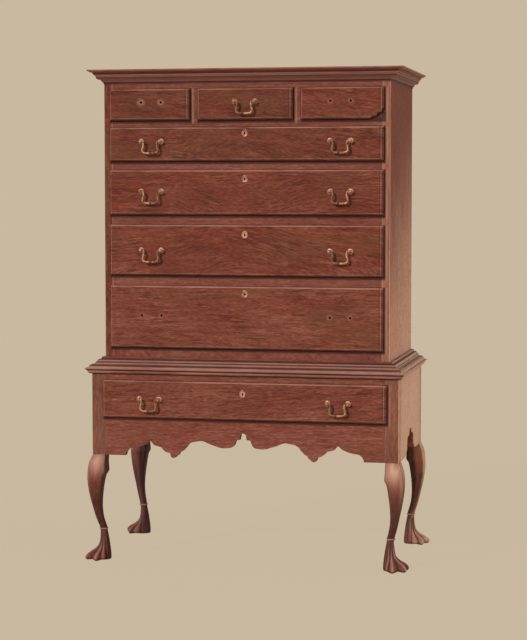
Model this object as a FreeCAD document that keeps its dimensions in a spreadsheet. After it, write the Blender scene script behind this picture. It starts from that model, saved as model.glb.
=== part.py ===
"""Queen Anne highboy: a lower case on four cabriole legs that carries an upper case of drawers.

Frame: X across the front, Y from the front (-Y) to the back (+Y), Z up, floor at Z = 0,
origin under the middle of the whole piece. Lengths in millimetres.
"""
import FreeCAD, Part
import math
import os

from FreeCAD import Vector

doc = FreeCAD.newDocument("highboy")

# ---------------------------------------------------------------- driving dimensions
driving = {
    # lower case
    "lower_width": 1043, "lower_depth": 560, "leg_length": 360, "post_width": 46,
    "apron_height": 131.5, "lower_opening": 116.5, "lower_rail": 42,
    "lower_board": 22, "back_board": 12, "top_board": 12, "back_clear": 40,
    # upper case
    "case_step": 37.5, "upper_board": 26, "upper_bottom_board": 18, "rail_depth": 60,
    "lift_gap": 0.3, "rim_gap": 1,
    # the stack of rails and drawer openings, from the bottom up
    "base_rail": 74.5, "long_4_opening": 199.5, "rail_3": 44.6, "long_3_opening": 159.4,
    "rail_2": 42.5, "long_2_opening": 139.5, "rail_1": 39, "long_1_opening": 102.4,
    "rail_small": 33.1, "small_opening": 94.8, "top_rail": 70.4,
    "centre_opening": 312, "divider_width": 37,
    # drawers
    "lip_side": 5, "lip_top": 6, "lip_bottom": 4, "lip_proud": 9.5, "lip_gap": 0.3,
    "thumbnail": 5.3, "field_step": 1.2, "front_thick": 19, "side_gap": 1, "top_gap": 2,
    "run_gap": 0.3, "drawer_side": 11, "drawer_back": 10, "drawer_bottom": 8,
    "bottom_rise": 8, "drawer_end_gap": 16, "dovetail_length": 14, "dovetail_pitch": 40,
    "runner_width": 24, "runner_height": 18, "guide_height": 12,
    # brasses: how far below the top of each lip the pulls' posts and the keyholes are
    "small_pull_drop": 44.5, "long_1_pull_drop": 46.5, "long_2_pull_drop": 71,
    "long_3_pull_drop": 85, "long_4_pull_drop": 99, "lower_pull_drop": 62,
    "long_1_key_drop": 19.5, "long_2_key_drop": 29, "long_3_key_drop": 31.5,
    "long_4_key_drop": 24, "lower_key_drop": 36.5,
    "pull_offset": 320, "post_spacing": 68, "hole_radius": 3.1, "shank_radius": 3,
    "rosette_radius": 8.5, "rosette_thick": 2.4, "neck_radius": 3.6, "pivot_reach": 14,
    "head_radius": 6.2, "nut_size": 11, "nut_thick": 4, "bail_drop": 39.5, "bail_radius": 2.3,
    "grip_radius": 3.3, "pin_radius": 1.6, "pin_clear": 0.08, "pin_depth": 4.2,
    "plate_width": 20, "plate_height": 25, "plate_thick": 1.6, "keyhole_radius": 2.6,
    "keyhole_slot": 7,
    # feet
    "ankle_radius": 11.6, "ring_radius": 3.2, "foot_height": 108, "toe_reach": 58,
    "middle_toe_reach": 65, "heel_radius": 22.5,
    # mouldings
    "cornice_reach": 47, "cornice_height": 46, "waist_rise": 38.8, "waist_lap": 15.2,
    "waist_reach": 57,
}
sheet = doc.addObject("Spreadsheet::Sheet", "sizes")
for row, (alias, value) in enumerate(driving.items(), 1):
    sheet.set(f"A{row}", alias)
    sheet.set(f"B{row}", str(value))
    sheet.setAlias(f"B{row}", alias)
doc.recompute()


class Sizes:
    """The cells of the sheet as numbers."""

    def __getattr__(self, alias):
        return float(sheet.get(alias))


size = Sizes()
nodes = []


def keep(piece):
    """Mark a piece as a node of its own."""
    nodes.append(piece)
    return piece


def board(label, x, y, z):
    """A flat board between two places along each axis, each place an expression on the sheet."""
    piece = doc.addObject("Part::Box", label)
    for side, axis, (low, high) in (("Length", "x", x), ("Width", "y", y), ("Height", "z", z)):
        piece.setExpression(side, f"({high}) - ({low})")
        piece.setExpression(f"Placement.Base.{axis}", low)
    return piece


def group(label, pieces):
    """Several separate solids kept as one node."""
    piece = doc.addObject("Part::Compound", label)
    piece.Links = pieces
    return keep(piece)


def joined(label, pieces):
    piece = doc.addObject("Part::MultiFuse", label)
    piece.Shapes = pieces
    piece.Refine = True
    return piece


def cut(label, base, tool):
    piece = doc.addObject("Part::Cut", label)
    piece.Base = base
    piece.Tool = tool
    return piece


def mirrored(label, source, normal):
    """The same piece on the other side of the middle plane with that normal."""
    piece = doc.addObject("Part::Mirroring", label)
    piece.Source = source
    piece.Normal = normal
    return keep(piece)


hole_sides = 8


def rod(label, x, z, y, radius, flat_sides=True):
    """A rod along Y between two places, round or with flat sides."""
    piece = doc.addObject("Part::Prism" if flat_sides else "Part::Cylinder", label)
    if flat_sides:
        piece.Polygon = hole_sides
    piece.setExpression("Circumradius" if flat_sides else "Radius", radius)
    piece.setExpression("Height", f"({y[1]}) - ({y[0]})")
    piece.Placement.Rotation = FreeCAD.Rotation(Vector(1, 0, 0), -90)
    for axis, place in (("x", x), ("y", y[0]), ("z", z)):
        piece.setExpression(f"Placement.Base.{axis}", place)
    return piece


def solid(label, shape):
    """A piece whose form is made directly from the sizes."""
    piece = doc.addObject("Part::Feature", label)
    piece.Shape = shape
    return piece


def outline(points):
    """Edges round a closed outline. A point is (across, up) or (across, up, bow), where bow is
    how far the edge that leads to the point swells to the left of its straight line."""
    edges = []
    for start, end in zip([points[-1]] + points[:-1], points):
        a = Vector(start[0], start[1], 0)
        b = Vector(end[0], end[1], 0)
        if len(end) == 2:
            edges.append(Part.LineSegment(a, b))
            continue
        along = (b - a).normalize()
        middle = (a + b) / 2 + Vector(-along.y, along.x, 0) * end[2]
        edges.append(Part.Arc(a, middle, b))
    return edges


def sketch(body, role, points_lists, offset="0"):
    """A sketch of closed outlines on one of the body's own planes."""
    plane = next(feature for feature in body.Origin.OriginFeatures if feature.Role == role)
    drawing = body.newObject("Sketcher::SketchObject", "outline")
    drawing.AttachmentSupport = [(plane, "")]
    drawing.MapMode = "FlatFace"
    drawing.setExpression("AttachmentOffset.Base.z", offset)
    for points in points_lists:
        drawing.addGeometry(outline(points))
    return drawing


def pad(body, drawing, length, midplane=False):
    feature = body.newObject("PartDesign::Pad", "pad")
    feature.Profile = drawing
    feature.setExpression("Length", length)
    feature.Midplane = midplane
    return feature


def slice_off(body, points_lists):
    """Cut vertical-sided outlines, drawn on the floor plane, right through the body."""
    feature = body.newObject("PartDesign::Pocket", "mitre")
    feature.Profile = sketch(body, "XY_Plane", points_lists)
    feature.Type = "ThroughAll"
    feature.Midplane = True
    return feature


# ---------------------------------------------------------------- shared places, as expressions
lower_half = "sizes.lower_width / 2"
front_face = "-sizes.lower_depth / 2"
back_face = "sizes.lower_depth / 2"
post_inside = "sizes.lower_width / 2 - sizes.post_width"
lower_height = "sizes.apron_height + sizes.lower_opening + sizes.lower_rail"
lower_top = f"sizes.leg_length + {lower_height}"
lower_opening_floor = "sizes.leg_length + sizes.apron_height"
lower_opening_ceiling = f"{lower_opening_floor} + sizes.lower_opening"
apron_back = f"{front_face} + sizes.lower_board"
lower_back_inside = f"{back_face} - sizes.back_board"

upper_half = "(sizes.lower_width / 2 - sizes.case_step)"
upper_inside = f"({upper_half} - sizes.upper_board)"
upper_face = "(-sizes.lower_depth / 2 + sizes.case_step)"
upper_floor = f"({lower_top} + sizes.lift_gap)"
upper_back_inside = f"({back_face} - sizes.back_board)"
rail_back = f"({upper_face} + sizes.rail_depth)"


def negative(place):
    return f"-({place})"


def number(expression):
    """An expression on the sheet worked out as a number."""
    return float(sheet.evalExpression(expression))


# ---------------------------------------------------------------- legs
# Each station of the shin: its share of the way down from the knee's lower edge to the foot, then,
# as shares of the post's width, how far the two outer faces swell past the post and how far the
# two inner faces stand from the post's outer faces, and last how square the section is
# (2 is a circle).
knee_share = 0.22
knee_swell = 0.33
shin_shares = [
    (0.00, knee_swell, 1.000, 7.0),
    (0.07, 0.348, 0.810, 6.0),
    (0.18, 0.345, 0.640, 5.0),
    (0.34, 0.270, 0.565, 4.0),
    (0.50, 0.150, 0.520, 3.2),
    (0.66, 0.005, 0.535, 2.6),
    (0.82, -0.125, 0.615, 2.2),
    (1.00, -0.248, 0.752, 2.0),
]
# Each station of the ankle's ring: height above the foot in ring radii, and its radius as a
# share of the ring's own radius past the ankle.
ring_shares = [(1.0, 0.0), (0.5, 1.0), (-0.5, 1.0), (-1.0, 0.0)]
# Each station of the foot: height as a share of the foot's, the heel's radius as a share of the
# heel radius, and the toes' reach as a share of their reach.
foot_shares = [
    (0.82, 0.61, 0.160),
    (0.64, 0.76, 0.190),
    (0.48, 0.89, 0.380),
    (0.34, 0.97, 0.700),
    (0.22, 1.00, 0.930),
    (0.10, 1.02, 1.010),
    (0.00, 0.96, 0.950),
]
toe_angle = 45.0
toe_lobe_angle = 17.5
leg_columns = 24


def section(height, centre, reach_at):
    """A closed ring of points; reach_at gives the reach at an angle from the outer corner."""
    ring = []
    for step in range(leg_columns):
        angle = 360.0 * step / leg_columns - 180
        turn = math.radians(angle + 225)
        reach = reach_at(angle)
        ring.append(Vector(centre + reach * math.cos(turn), centre + reach * math.sin(turn), height))
    return ring


def shin_section(share, swell, inner, squareness):
    top = size.leg_length - knee_share * (size.leg_length - size.foot_height)
    half = (inner + swell) / 2 * size.post_width
    centre = (inner - swell) / 2 * size.post_width

    def reach_at(angle):
        turn = math.radians(angle + 45)
        across = abs(math.cos(turn)) ** squareness + abs(math.sin(turn)) ** squareness
        return half / across ** (1 / squareness)

    return section(top - share * (top - size.foot_height), centre, reach_at)


def ring_section(rise, swell):
    radius = size.ankle_radius + swell * size.ring_radius
    return section(size.foot_height + rise * size.ring_radius, size.post_width / 2,
                   lambda angle: radius)


def foot_section(height, heel, toe):
    """A round heel and three toes that fan out about the corner."""
    def reach_at(angle):
        reach = heel * size.heel_radius
        for place, length in ((-toe_angle, size.toe_reach), (0, size.middle_toe_reach),
                              (toe_angle, size.toe_reach)):
            away = (angle - place) / toe_lobe_angle
            reach += (toe * length - heel * size.heel_radius) * math.exp(-away ** 2)
        return reach

    return section(height * size.foot_height, size.post_width / 2, reach_at)


def facet(points):
    return Part.Face(Part.makePolygon(points + points[:1]))


def skin(rings):
    """A closed solid of flat facets through rings of points, each ring with as many points."""
    faces = [facet(rings[0]), facet(rings[-1])]
    for ring, following in zip(rings, rings[1:]):
        for place in range(len(ring)):
            a, b = ring[place - 1], ring[place]
            c, d = following[place], following[place - 1]
            off_plane = (b - a).cross(d - a).dot(c - a)
            if abs(off_plane) < 1e-9:
                faces.append(facet([a, b, c, d]))
            else:
                faces += [facet([a, b, c]), facet([a, c, d])]
    shell = Part.makeShell(faces)
    shell.sewShape()
    return Part.makeSolid(shell)


def knee_shape():
    """The block under the post, sawn to one curve on its two outer faces."""
    top = size.leg_length
    bottom = top - knee_share * (size.leg_length - size.foot_height)
    swell = knee_swell * size.post_width
    width = size.post_width
    bow = swell * 0.2
    blanks = []
    for across, along in ((Vector(1, 0, 0), Vector(0, 1, 0)), (Vector(0, 1, 0), Vector(1, 0, 0))):
        low = across * -swell + Vector(0, 0, bottom)
        high = Vector(0, 0, top)
        middle = (low + high) / 2 - across * bow + Vector(0, 0, bow)
        edges = [
            Part.Arc(high, middle, low).toShape(),
            Part.makeLine(low, across * width + Vector(0, 0, bottom)),
            Part.makeLine(across * width + Vector(0, 0, bottom), across * width + high),
            Part.makeLine(across * width + high, high),
        ]
        face = Part.Face(Part.Wire(edges))
        face.translate(along * -2 * swell)
        blanks.append(face.extrude(along * (width + 2 * swell)))
    return blanks[0].common(blanks[1])


def leg_shape():
    """The front left leg with its post, with the post's outer corner at the origin."""
    post = Part.makeBox(size.post_width, size.post_width, number(lower_height),
                        Vector(0, 0, size.leg_length))
    rings = [shin_section(*station) for station in shin_shares[:-1]]
    rings += [ring_section(*station) for station in ring_shares]
    rings += [foot_section(*station) for station in foot_shares]
    return post.fuse([knee_shape(), skin(rings)])


leg = keep(solid("leg_front_left", leg_shape()))
leg.setExpression("Placement.Base.x", negative(lower_half))
leg.setExpression("Placement.Base.y", front_face)
mirrored("leg_front_right", leg, Vector(1, 0, 0))
leg_rear = mirrored("leg_rear_left", leg, Vector(0, 1, 0))
mirrored("leg_rear_right", leg_rear, Vector(1, 0, 0))


# ---------------------------------------------------------------- lower case
def mirror_outline(half):
    """The whole outline from its right half, which runs from the middle outwards."""
    left = []
    for place in range(len(half) - 1, -1, -1):
        bow = half[place + 1][2] if place + 1 < len(half) and len(half[place + 1]) > 2 else 0
        point = (-half[place][0], half[place][1])
        left.append(point + (bow,) if bow else point)
    if half[0][0] == 0:
        return left + half[1:]
    return left + half


# The lower edges from the middle peak to the post: how far out, as a share of half the opening
# between the posts, then how far up and how far the edge to the point bows, both as shares of the
# apron's height.
apron_edge = [
    (0, 0.6464), (0.0191, 0.6008), (0.0255, 0.4715), (0.0509, 0.4639), (0.0657, 0.327),
    (0.1103, 0.2586, -0.0228), (0.1909, 0.289, -0.0228), (0.2778, 0.403, -0.01),
    (0.3181, 0.4106, 0.0114), (0.3648, 0.3802), (0.4093, 0.251, 0.0228), (0.4348, 0.1521),
    (0.4581, 0.1065), (0.4793, 0.0152, -0.0152), (0.5069, -0.0418, -0.0152),
    (0.526, 0.0913, -0.0228), (0.5896, 0.2281, -0.038), (0.6448, 0.2814), (0.6702, 0.3954),
    (0.702, 0.2966), (0.7985, 0.1939, -0.0152), (0.8526, 0, 0.057),
]
side_edge = [
    (0, 0.6312), (0.1111, 0.5475, 0.038), (0.1624, 0.4715, 0.0076), (0.2991, 0.4563),
    (0.3419, 0.3346, 0.0152), (0.3504, 0.1673), (0.4103, 0.1065, -0.0152),
    (0.4786, 0.0304, -0.0152), (0.547, 0),
]


def lower_edge(points, half):
    rise = size.apron_height
    return [(point[0] * half, point[1] * rise + size.leg_length) + tuple(bow * rise for bow in point[2:])
            for point in points] + [(half, size.leg_length)]


def flat_piece(label, plane, points, offset, thickness):
    """A board sawn to an outline and as thick as the expression says."""
    body = doc.addObject("PartDesign::Body", label)
    pad(body, sketch(body, plane, [points], offset), thickness)
    return body


half_opening = number(post_inside)
apron_outline = mirror_outline(lower_edge(apron_edge, half_opening))
apron_outline.append((half_opening, number(lower_opening_floor)))
apron_outline.append((-half_opening, number(lower_opening_floor)))
keep(flat_piece("front_apron", "XZ_Plane", apron_outline,
                "sizes.lower_depth / 2 - sizes.lower_board", "sizes.lower_board"))

side_half = size.lower_depth / 2 - size.post_width
side_outline = mirror_outline(lower_edge(side_edge, side_half))
side_outline.append((side_half, number(lower_top)))
side_outline.append((-side_half, number(lower_top)))
lower_side = keep(flat_piece("lower_side_right", "YZ_Plane", side_outline,
                             f"{lower_half} - sizes.lower_board", "sizes.lower_board"))
mirrored("lower_side_left", lower_side, Vector(1, 0, 0))

between_posts = (negative(post_inside), post_inside)
keep(board("lower_top_rail", between_posts, (front_face, apron_back),
           (lower_opening_ceiling, lower_top)))
keep(board("lower_back", between_posts, (lower_back_inside, back_face),
           ("sizes.leg_length + sizes.back_clear", lower_top)))
side_inside = f"({lower_half} - sizes.lower_board)"
post_back = f"({front_face} + sizes.post_width)"
top_height = (f"{lower_top} - sizes.top_board", lower_top)
keep(joined("lower_case_top", [
    board("top_middle", (negative(side_inside), side_inside), (post_back, negative(post_back)),
          top_height),
    board("top_ends", between_posts, (apron_back, lower_back_inside), top_height),
]))
lower_runners = []
for side in (-1, 1):
    inner = f"({post_inside} - sizes.runner_width)"
    spans = [(inner, side_inside), (post_inside, side_inside)]
    if side < 0:
        spans = [(negative(far), negative(near)) for near, far in spans]
    along = (post_back, negative(post_back))
    lower_runners.append(board("lower_runner", spans[0], along,
                               (f"{lower_opening_floor} - sizes.runner_height",
                                lower_opening_floor)))
    lower_runners.append(board("lower_guide", spans[1], along,
                               (lower_opening_floor,
                                f"{lower_opening_floor} + sizes.guide_height")))
group("lower_drawer_runners", lower_runners)


# ---------------------------------------------------------------- mouldings
def moulding(name, profile, half, face, back):
    """A mitred moulding round the front and both sides of a case. The profile is drawn outwards
    from the case and up; half, face and back are the case's places as expressions."""
    out = max(point[0] for point in profile) + 1
    corner = (number(half), number(face))
    front = doc.addObject("PartDesign::Body", f"{name}_front")
    points = [(corner[1] - point[0], point[1]) + tuple(-bow for bow in point[2:])
              for point in profile]
    pad(front, sketch(front, "YZ_Plane", [points]), f"2 * ({half}) + {2 * out}", True)
    waste = [[(side * corner[0], corner[1]), (side * (corner[0] + out), corner[1] - out),
              (side * (corner[0] + out), corner[1])] for side in (-1, 1)]
    slice_off(front, waste)
    right = doc.addObject("PartDesign::Body", f"{name}_right")
    points = [(corner[0] + point[0], point[1]) + point[2:] for point in profile]
    pad(right, sketch(right, "XZ_Plane", [points], negative(back)), f"({back}) - ({face}) + {out}")
    slice_off(right, [[corner, (corner[0] + out, corner[1] - out), (corner[0] - 1, corner[1] - out),
                       (corner[0] - 1, corner[1])]])
    keep(front)
    keep(right)
    mirrored(f"{name}_left", right, Vector(1, 0, 0))


def waist_profile():
    """Round the foot of the upper case, rabbeted over the top edge of the lower case: a fillet,
    a cove and a bead over a round nose. Each point of the face is how far out and how far up, as
    shares of the waist's reach and rise, and how far the edge to it bows."""
    seat = number(lower_top)
    top = seat + size.waist_rise
    low = seat - size.waist_lap
    step = size.case_step
    gap = size.rim_gap
    shares = [(0.88, -0.11, -0.08), (0.965, 0.02, -0.026), (1, 0.02), (1, 0.10), (0.82, 0.20, 0.04),
              (0.61, 0.43, -0.05), (0.49, 0.43), (0.49, 0.59), (0.44, 0.59), (0.24, 0.82, -0.08),
              (0.19, 0.82), (0.19, 1)]
    return [(gap, top), (gap, seat), (step, seat), (step, low), (step * 1.08, low)] + [
        (out * size.waist_reach, seat + up * size.waist_rise) + tuple(part * size.waist_rise
                                                                    for part in bow)
        for out, up, *bow in shares]


def cornice_profile():
    """Under the top edge of the upper case: fillet, ovolo, cove and bead. Each point is how far
    out and how far down, as shares of the cornice's reach and height, and how far the edge bows."""
    top = number(upper_floor) + number(upper_stack)
    reach = size.cornice_reach
    drop = size.cornice_height
    shares = [(0, 0), (0, 1), (0.04, 1), (0.06, 0.87), (0.13, 0.87), (0.19, 0.80, 0.03),
              (0.17, 0.71), (0.22, 0.69), (0.50, 0.47, -0.09), (0.50, 0.42), (0.60, 0.41),
              (0.68, 0.27, 0.03), (0.68, 0.20), (0.86, 0.17), (0.94, 0.10, 0.02), (1, 0.10), (1, 0)]
    return [(out * reach, top - down * drop) + tuple(part * drop for part in bow)
            for out, down, *bow in shares]


openings = ["long_4", "long_3", "long_2", "long_1", "small"]
rails = ["base_rail", "rail_3", "rail_2", "rail_1", "rail_small", "top_rail"]
upper_stack = "(" + " + ".join([f"sizes.{rail}" for rail in rails]
                               + [f"sizes.{opening}_opening" for opening in openings]) + ")"
upper_top = f"({upper_floor} + {upper_stack})"

moulding("waist_moulding", waist_profile(), upper_half, upper_face, back_face)

# ---------------------------------------------------------------- upper case
upper_side = keep(board("upper_side_right", (upper_inside, upper_half),
                        (upper_face, back_face), (upper_floor, upper_top)))
mirrored("upper_side_left", upper_side, Vector(1, 0, 0))
upper_inner = (negative(upper_inside), upper_inside)
keep(board("upper_bottom", upper_inner, (rail_back, upper_back_inside),
           (upper_floor, f"{upper_floor} + sizes.upper_bottom_board")))
keep(board("upper_top", upper_inner, (rail_back, upper_back_inside),
           (f"{upper_top} - sizes.upper_bottom_board", upper_top)))
keep(board("upper_back", upper_inner, (upper_back_inside, back_face), (upper_floor, upper_top)))

# Going up the front: a rail, the opening above it, and so on to the rail under the cornice.
floors = {}
ceilings = {}
level = upper_floor
rail_boards = []
for rail, opening in zip(rails, openings + [None]):
    above = f"({level} + sizes.{rail})"
    rail_boards.append(board(rail + "_board", upper_inner, (upper_face, rail_back),
                             (level, above)))
    if opening:
        floors[opening] = above
        level = f"({above} + sizes.{opening}_opening)"
        ceilings[opening] = level
group("drawer_rails", rail_boards)

divider_inner = "(sizes.centre_opening / 2)"
divider_outer = f"({divider_inner} + sizes.divider_width)"
divider_spans = [(divider_inner, divider_outer), (negative(divider_outer), negative(divider_inner))]
small_height = (floors["small"], ceilings["small"])
group("small_drawer_dividers", [
    board("divider", span, (upper_face, rail_back), small_height) for span in divider_spans])

runners = []
along = (rail_back, upper_back_inside)
runner_inner = f"({upper_inside} - sizes.runner_width)"
for opening in openings:
    height = (f"{floors[opening]} - sizes.runner_height", floors[opening])
    runners.append(board("runner", (runner_inner, upper_inside), along, height))
    runners.append(board("runner", (negative(upper_inside), negative(runner_inner)), along, height))
height = (f"{floors['small']} - sizes.runner_height", floors["small"])
wide_inner = f"({divider_inner} - sizes.runner_width)"
wide_outer = f"({divider_outer} + sizes.runner_width)"
runners.append(board("runner", (wide_inner, wide_outer), along, height))
runners.append(board("runner", (negative(wide_outer), negative(wide_inner)), along, height))
group("upper_drawer_runners", runners)
group("small_drawer_guides", [
    board("guide", span, along, (floors["small"], f"{floors['small']} + sizes.guide_height"))
    for span in divider_spans])

moulding("cornice", cornice_profile(), upper_half, upper_face, back_face)


# ---------------------------------------------------------------- drawers
def drawer(name, span, floor, ceiling, face, back, pulls, pull_drop, key_drop, fitted, chip=False):
    """A lipped front, and the box behind it, for the opening between those places. Returns the
    places of the front's outside, its pulls' posts and its keyhole. Holes with no pull are
    round."""
    low, high = span
    bottom = f"({floor} + sizes.run_gap)"
    top = f"({ceiling} - sizes.top_gap)"
    left = f"({low} + sizes.side_gap)"
    right = f"({high} - sizes.side_gap)"
    lip_span = (f"{low} - sizes.lip_side", f"{high} + sizes.lip_side")
    lip_height = (f"{floor} - sizes.lip_bottom", f"{ceiling} + sizes.lip_top")
    lip_back = f"({face} - sizes.lip_gap)"
    field_y = f"({lip_back} - sizes.lip_proud)"
    edge_y = f"({field_y} + sizes.field_step)"
    inset = "(sizes.thumbnail + sizes.field_step)"
    inside = f"({lip_back} + sizes.front_thick)"
    through = (f"{field_y} - 1", f"{inside} + 1")

    lip = board(f"{name}_lip", lip_span, (edge_y, lip_back), lip_height)
    doc.recompute()
    front_y = lip.Shape.BoundBox.YMin
    rounded = doc.addObject("Part::Fillet", f"{name}_thumbnail")
    rounded.Base = lip
    rounded.Edges = [(place, size.thumbnail, size.thumbnail)
                     for place, edge in enumerate(lip.Shape.Edges, 1)
                     if edge.BoundBox.YMax < front_y + 0.01]
    field = board(f"{name}_field", (f"{lip_span[0]} + {inset}", f"{lip_span[1]} - {inset}"),
                  (field_y, edge_y), (f"{lip_height[0]} + {inset}", f"{lip_height[1]} - {inset}"))
    block = board(f"{name}_block", (left, right), (lip_back, inside), (bottom, top))
    blank = joined(f"{name}_front_blank", [rounded, field, block])

    post_z = f"({lip_height[1]} - sizes.{pull_drop})"
    tools = [rod(f"{name}_hole", f"({centre}) + {side} * sizes.post_spacing / 2", post_z,
                 through, "sizes.hole_radius", fitted)
             for centre in pulls for side in (-1, 1)]
    if key_drop:
        key_z = f"({lip_height[1]} - sizes.{key_drop})"
        tools.append(rod(f"{name}_keyhole", "0", key_z, through, "sizes.keyhole_radius"))
    if chip:
        tools.append(chip_tool(number(lip_span[1]), number(lip_height[0]), number(field_y),
                               number(lip_back)))
    side_left = f"({left} + sizes.drawer_side)"
    side_right = f"({right} - sizes.drawer_side)"
    tail_y = (f"({inside} - sizes.dovetail_length)", inside)
    left_tails = tails(f"{name}_left_tails", (left, side_left), tail_y, (bottom, top))
    right_tails = tails(f"{name}_right_tails", (side_right, right), tail_y, (bottom, top))
    tools += [left_tails, right_tails]
    all_tools = doc.addObject("Part::Compound", f"{name}_holes")
    all_tools.Links = tools
    keep(cut(f"{name}_front", blank, all_tools))

    back_inside = f"({back} - sizes.drawer_back)"
    bottom_low = f"({bottom} + sizes.bottom_rise)"
    bottom_high = f"({bottom_low} + sizes.drawer_bottom)"
    between = (side_left, side_right)
    group(f"{name}_box", [
        joined(f"{name}_left_side", [
            board(f"{name}_left", (left, side_left), (inside, back), (bottom, top)), left_tails]),
        joined(f"{name}_right_side", [
            board(f"{name}_right", (side_right, right), (inside, back), (bottom, top)), right_tails]),
        board(f"{name}_back", between, (back_inside, back), (bottom_high, top)),
        board(f"{name}_bottom", between, (inside, back), (bottom_low, bottom_high)),
    ])
    return number(field_y), number(post_z), number(key_z) if key_drop else None


def tails(label, x, y, z):
    """The dovetails at the front end of a drawer's side board, which widen towards the front.
    x, y and z are the low and high places that they fill, as expressions."""
    left, right = number(x[0]), number(x[1])
    tip, root = number(y[0]), number(y[1])
    low, high = number(z[0]), number(z[1])
    count = max(2, round((high - low) / size.dovetail_pitch))
    pitch = (high - low) / count
    narrow, wide = pitch * 0.25, pitch * 0.34
    shapes = []
    for place in range(count):
        middle = low + (place + 0.5) * pitch
        corners = [Vector(left, root, middle - narrow), Vector(left, root, middle + narrow),
                   Vector(left, tip, middle + wide), Vector(left, tip, middle - wide)]
        shapes.append(facet(corners).extrude(Vector(right - left, 0, 0)))
    return solid(label, Part.makeCompound(shapes))


def chip_tool(edge, bottom, front, back):
    """The corner that has broken away from the lip of one small drawer front."""
    points = [
        (edge + 2, bottom + 37), (edge - 6, bottom + 34), (edge - 9, bottom + 25),
        (edge - 20, bottom + 21), (edge - 26, bottom + 12), (edge - 41, bottom + 8),
        (edge - 50, bottom - 2), (edge + 2, bottom - 2),
    ]
    face = Part.Face(Part.Wire([edge.toShape() for edge in outline(points)]))
    face.rotate(Vector(0, 0, 0), Vector(1, 0, 0), 90)
    face.translate(Vector(0, front - 1, 0))
    return solid("chip", face.extrude(Vector(0, back - front + 1, 0)))


# ---------------------------------------------------------------- brasses
plate_sides = 16


def turned(stations, columns):
    """A solid turned about the Y axis through (place along Y, radius) stations."""
    rings = []
    for along, radius in stations:
        turns = [2 * math.pi * step / columns for step in range(columns)]
        rings.append([Vector(radius * math.cos(turn), along, radius * math.sin(turn))
                      for turn in turns])
    return skin(rings)


def post_shape(side):
    """A pull's post with its nut, on the outside of the drawer at the origin. The bail's pin
    goes in from the right (1) or the left (-1)."""
    reach = size.pivot_reach
    head = size.head_radius
    neck = size.neck_radius
    rosette = size.rosette_radius
    stations = [(0, rosette), (-0.5 * size.rosette_thick, rosette), (-size.rosette_thick, neck),
                (head - reach, neck), (0.4 * head - reach, head), (-0.4 * head - reach, head),
                (-head - reach, 0.4 * head)]
    front = turned(stations, hole_sides)
    inside = size.front_thick + size.lip_proud
    shank = turned([(-0.1, size.shank_radius), (inside + size.nut_thick + 2, size.shank_radius)],
                   hole_sides)
    half = size.nut_size / 2
    nut = Part.makeBox(2 * half, size.nut_thick, 2 * half, Vector(-half, inside, -half))
    socket_radius = (size.pin_radius + size.pin_clear) / math.cos(math.pi / hole_sides)
    socket = pin(socket_radius, head + 1, head - size.pin_depth - 0.5)
    if side < 0:
        socket = socket.mirror(Vector(0, 0, 0), Vector(1, 0, 0))
    socket.translate(Vector(0, -reach, 0))
    return [front.fuse(shank).cut(socket), nut.cut(shank)]


def pin(radius, far, near):
    """A bar along X between two places, whose corners lie on a circle of that radius."""
    turns = [2 * math.pi * (step + 0.5) / hole_sides for step in range(hole_sides)]
    ring = [Vector(near, radius * math.cos(turn), radius * math.sin(turn)) for turn in turns]
    return facet(ring).extrude(Vector(far - near, 0, 0))


def bail_shape():
    """A swan-neck bail that hangs between its two posts, its pivot line through the origin."""
    end = size.post_spacing / 2 - size.head_radius + size.pin_depth
    shoulder = size.post_spacing / 2 - size.head_radius - 0.4
    drop = size.bail_drop
    arm = size.bail_radius
    grip = size.grip_radius
    half = [
        (shoulder, 0, arm, 90), (shoulder - 3.2, -0.08 * drop, arm, 40),
        (shoulder - 5, -0.26 * drop, arm, 0), (shoulder - 3.2, -0.48 * drop, arm, -28),
        (shoulder - 0.4, -0.7 * drop, 1.1 * arm, 0), (shoulder - 3.8, -0.91 * drop, 1.2 * arm, 50),
        (shoulder - 11, -0.99 * drop, 0.9 * grip, 84), (0, -drop, grip, 90),
    ]
    whole = half + [(-across, up, radius, 180 - lean) for across, up, radius, lean in half[-2::-1]]
    rings = []
    for across, up, radius, lean in whole:
        # the ring stands square to a path that leans this far from straight down, inwards
        turn = math.radians(lean)
        outward = Vector(math.cos(turn), 0, -math.sin(turn))
        ring = []
        for step in range(6):
            angle = math.pi * (step + 0.5) / 3
            ring.append(Vector(across, 0, up) + outward * (radius * math.cos(angle))
                        + Vector(0, radius * math.sin(angle), 0))
        rings.append(ring)
    ends = [pin(size.pin_radius, end, shoulder), pin(size.pin_radius, -shoulder, -end)]
    return skin(rings).fuse(ends)


def escutcheon_shape():
    """An oval plate on the outside of the drawer at the origin, with its keyhole."""
    width = size.plate_width / 2
    height = size.plate_height / 2
    turns = [2 * math.pi * step / plate_sides for step in range(plate_sides)]
    ring = [Vector(width * math.cos(turn), 0, height * math.sin(turn)) for turn in turns]
    plate = Part.Face(Part.makePolygon(ring + ring[:1])).extrude(Vector(0, -size.plate_thick, 0))
    radius = size.keyhole_radius
    hole = turned([(size.plate_thick, radius), (-2 * size.plate_thick, radius)], hole_sides)
    slot = Part.makeBox(radius, 3 * size.plate_thick, size.keyhole_slot,
                        Vector(-radius / 2, -2 * size.plate_thick, -size.keyhole_slot))
    return plate.cut(hole.fuse(slot))


def placed(shape, x, y, z):
    shape = shape.copy()
    shape.translate(Vector(x, y, z))
    return shape


posts = {1: post_shape(1), -1: post_shape(-1)}
bail = bail_shape()
escutcheon = escutcheon_shape()


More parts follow.
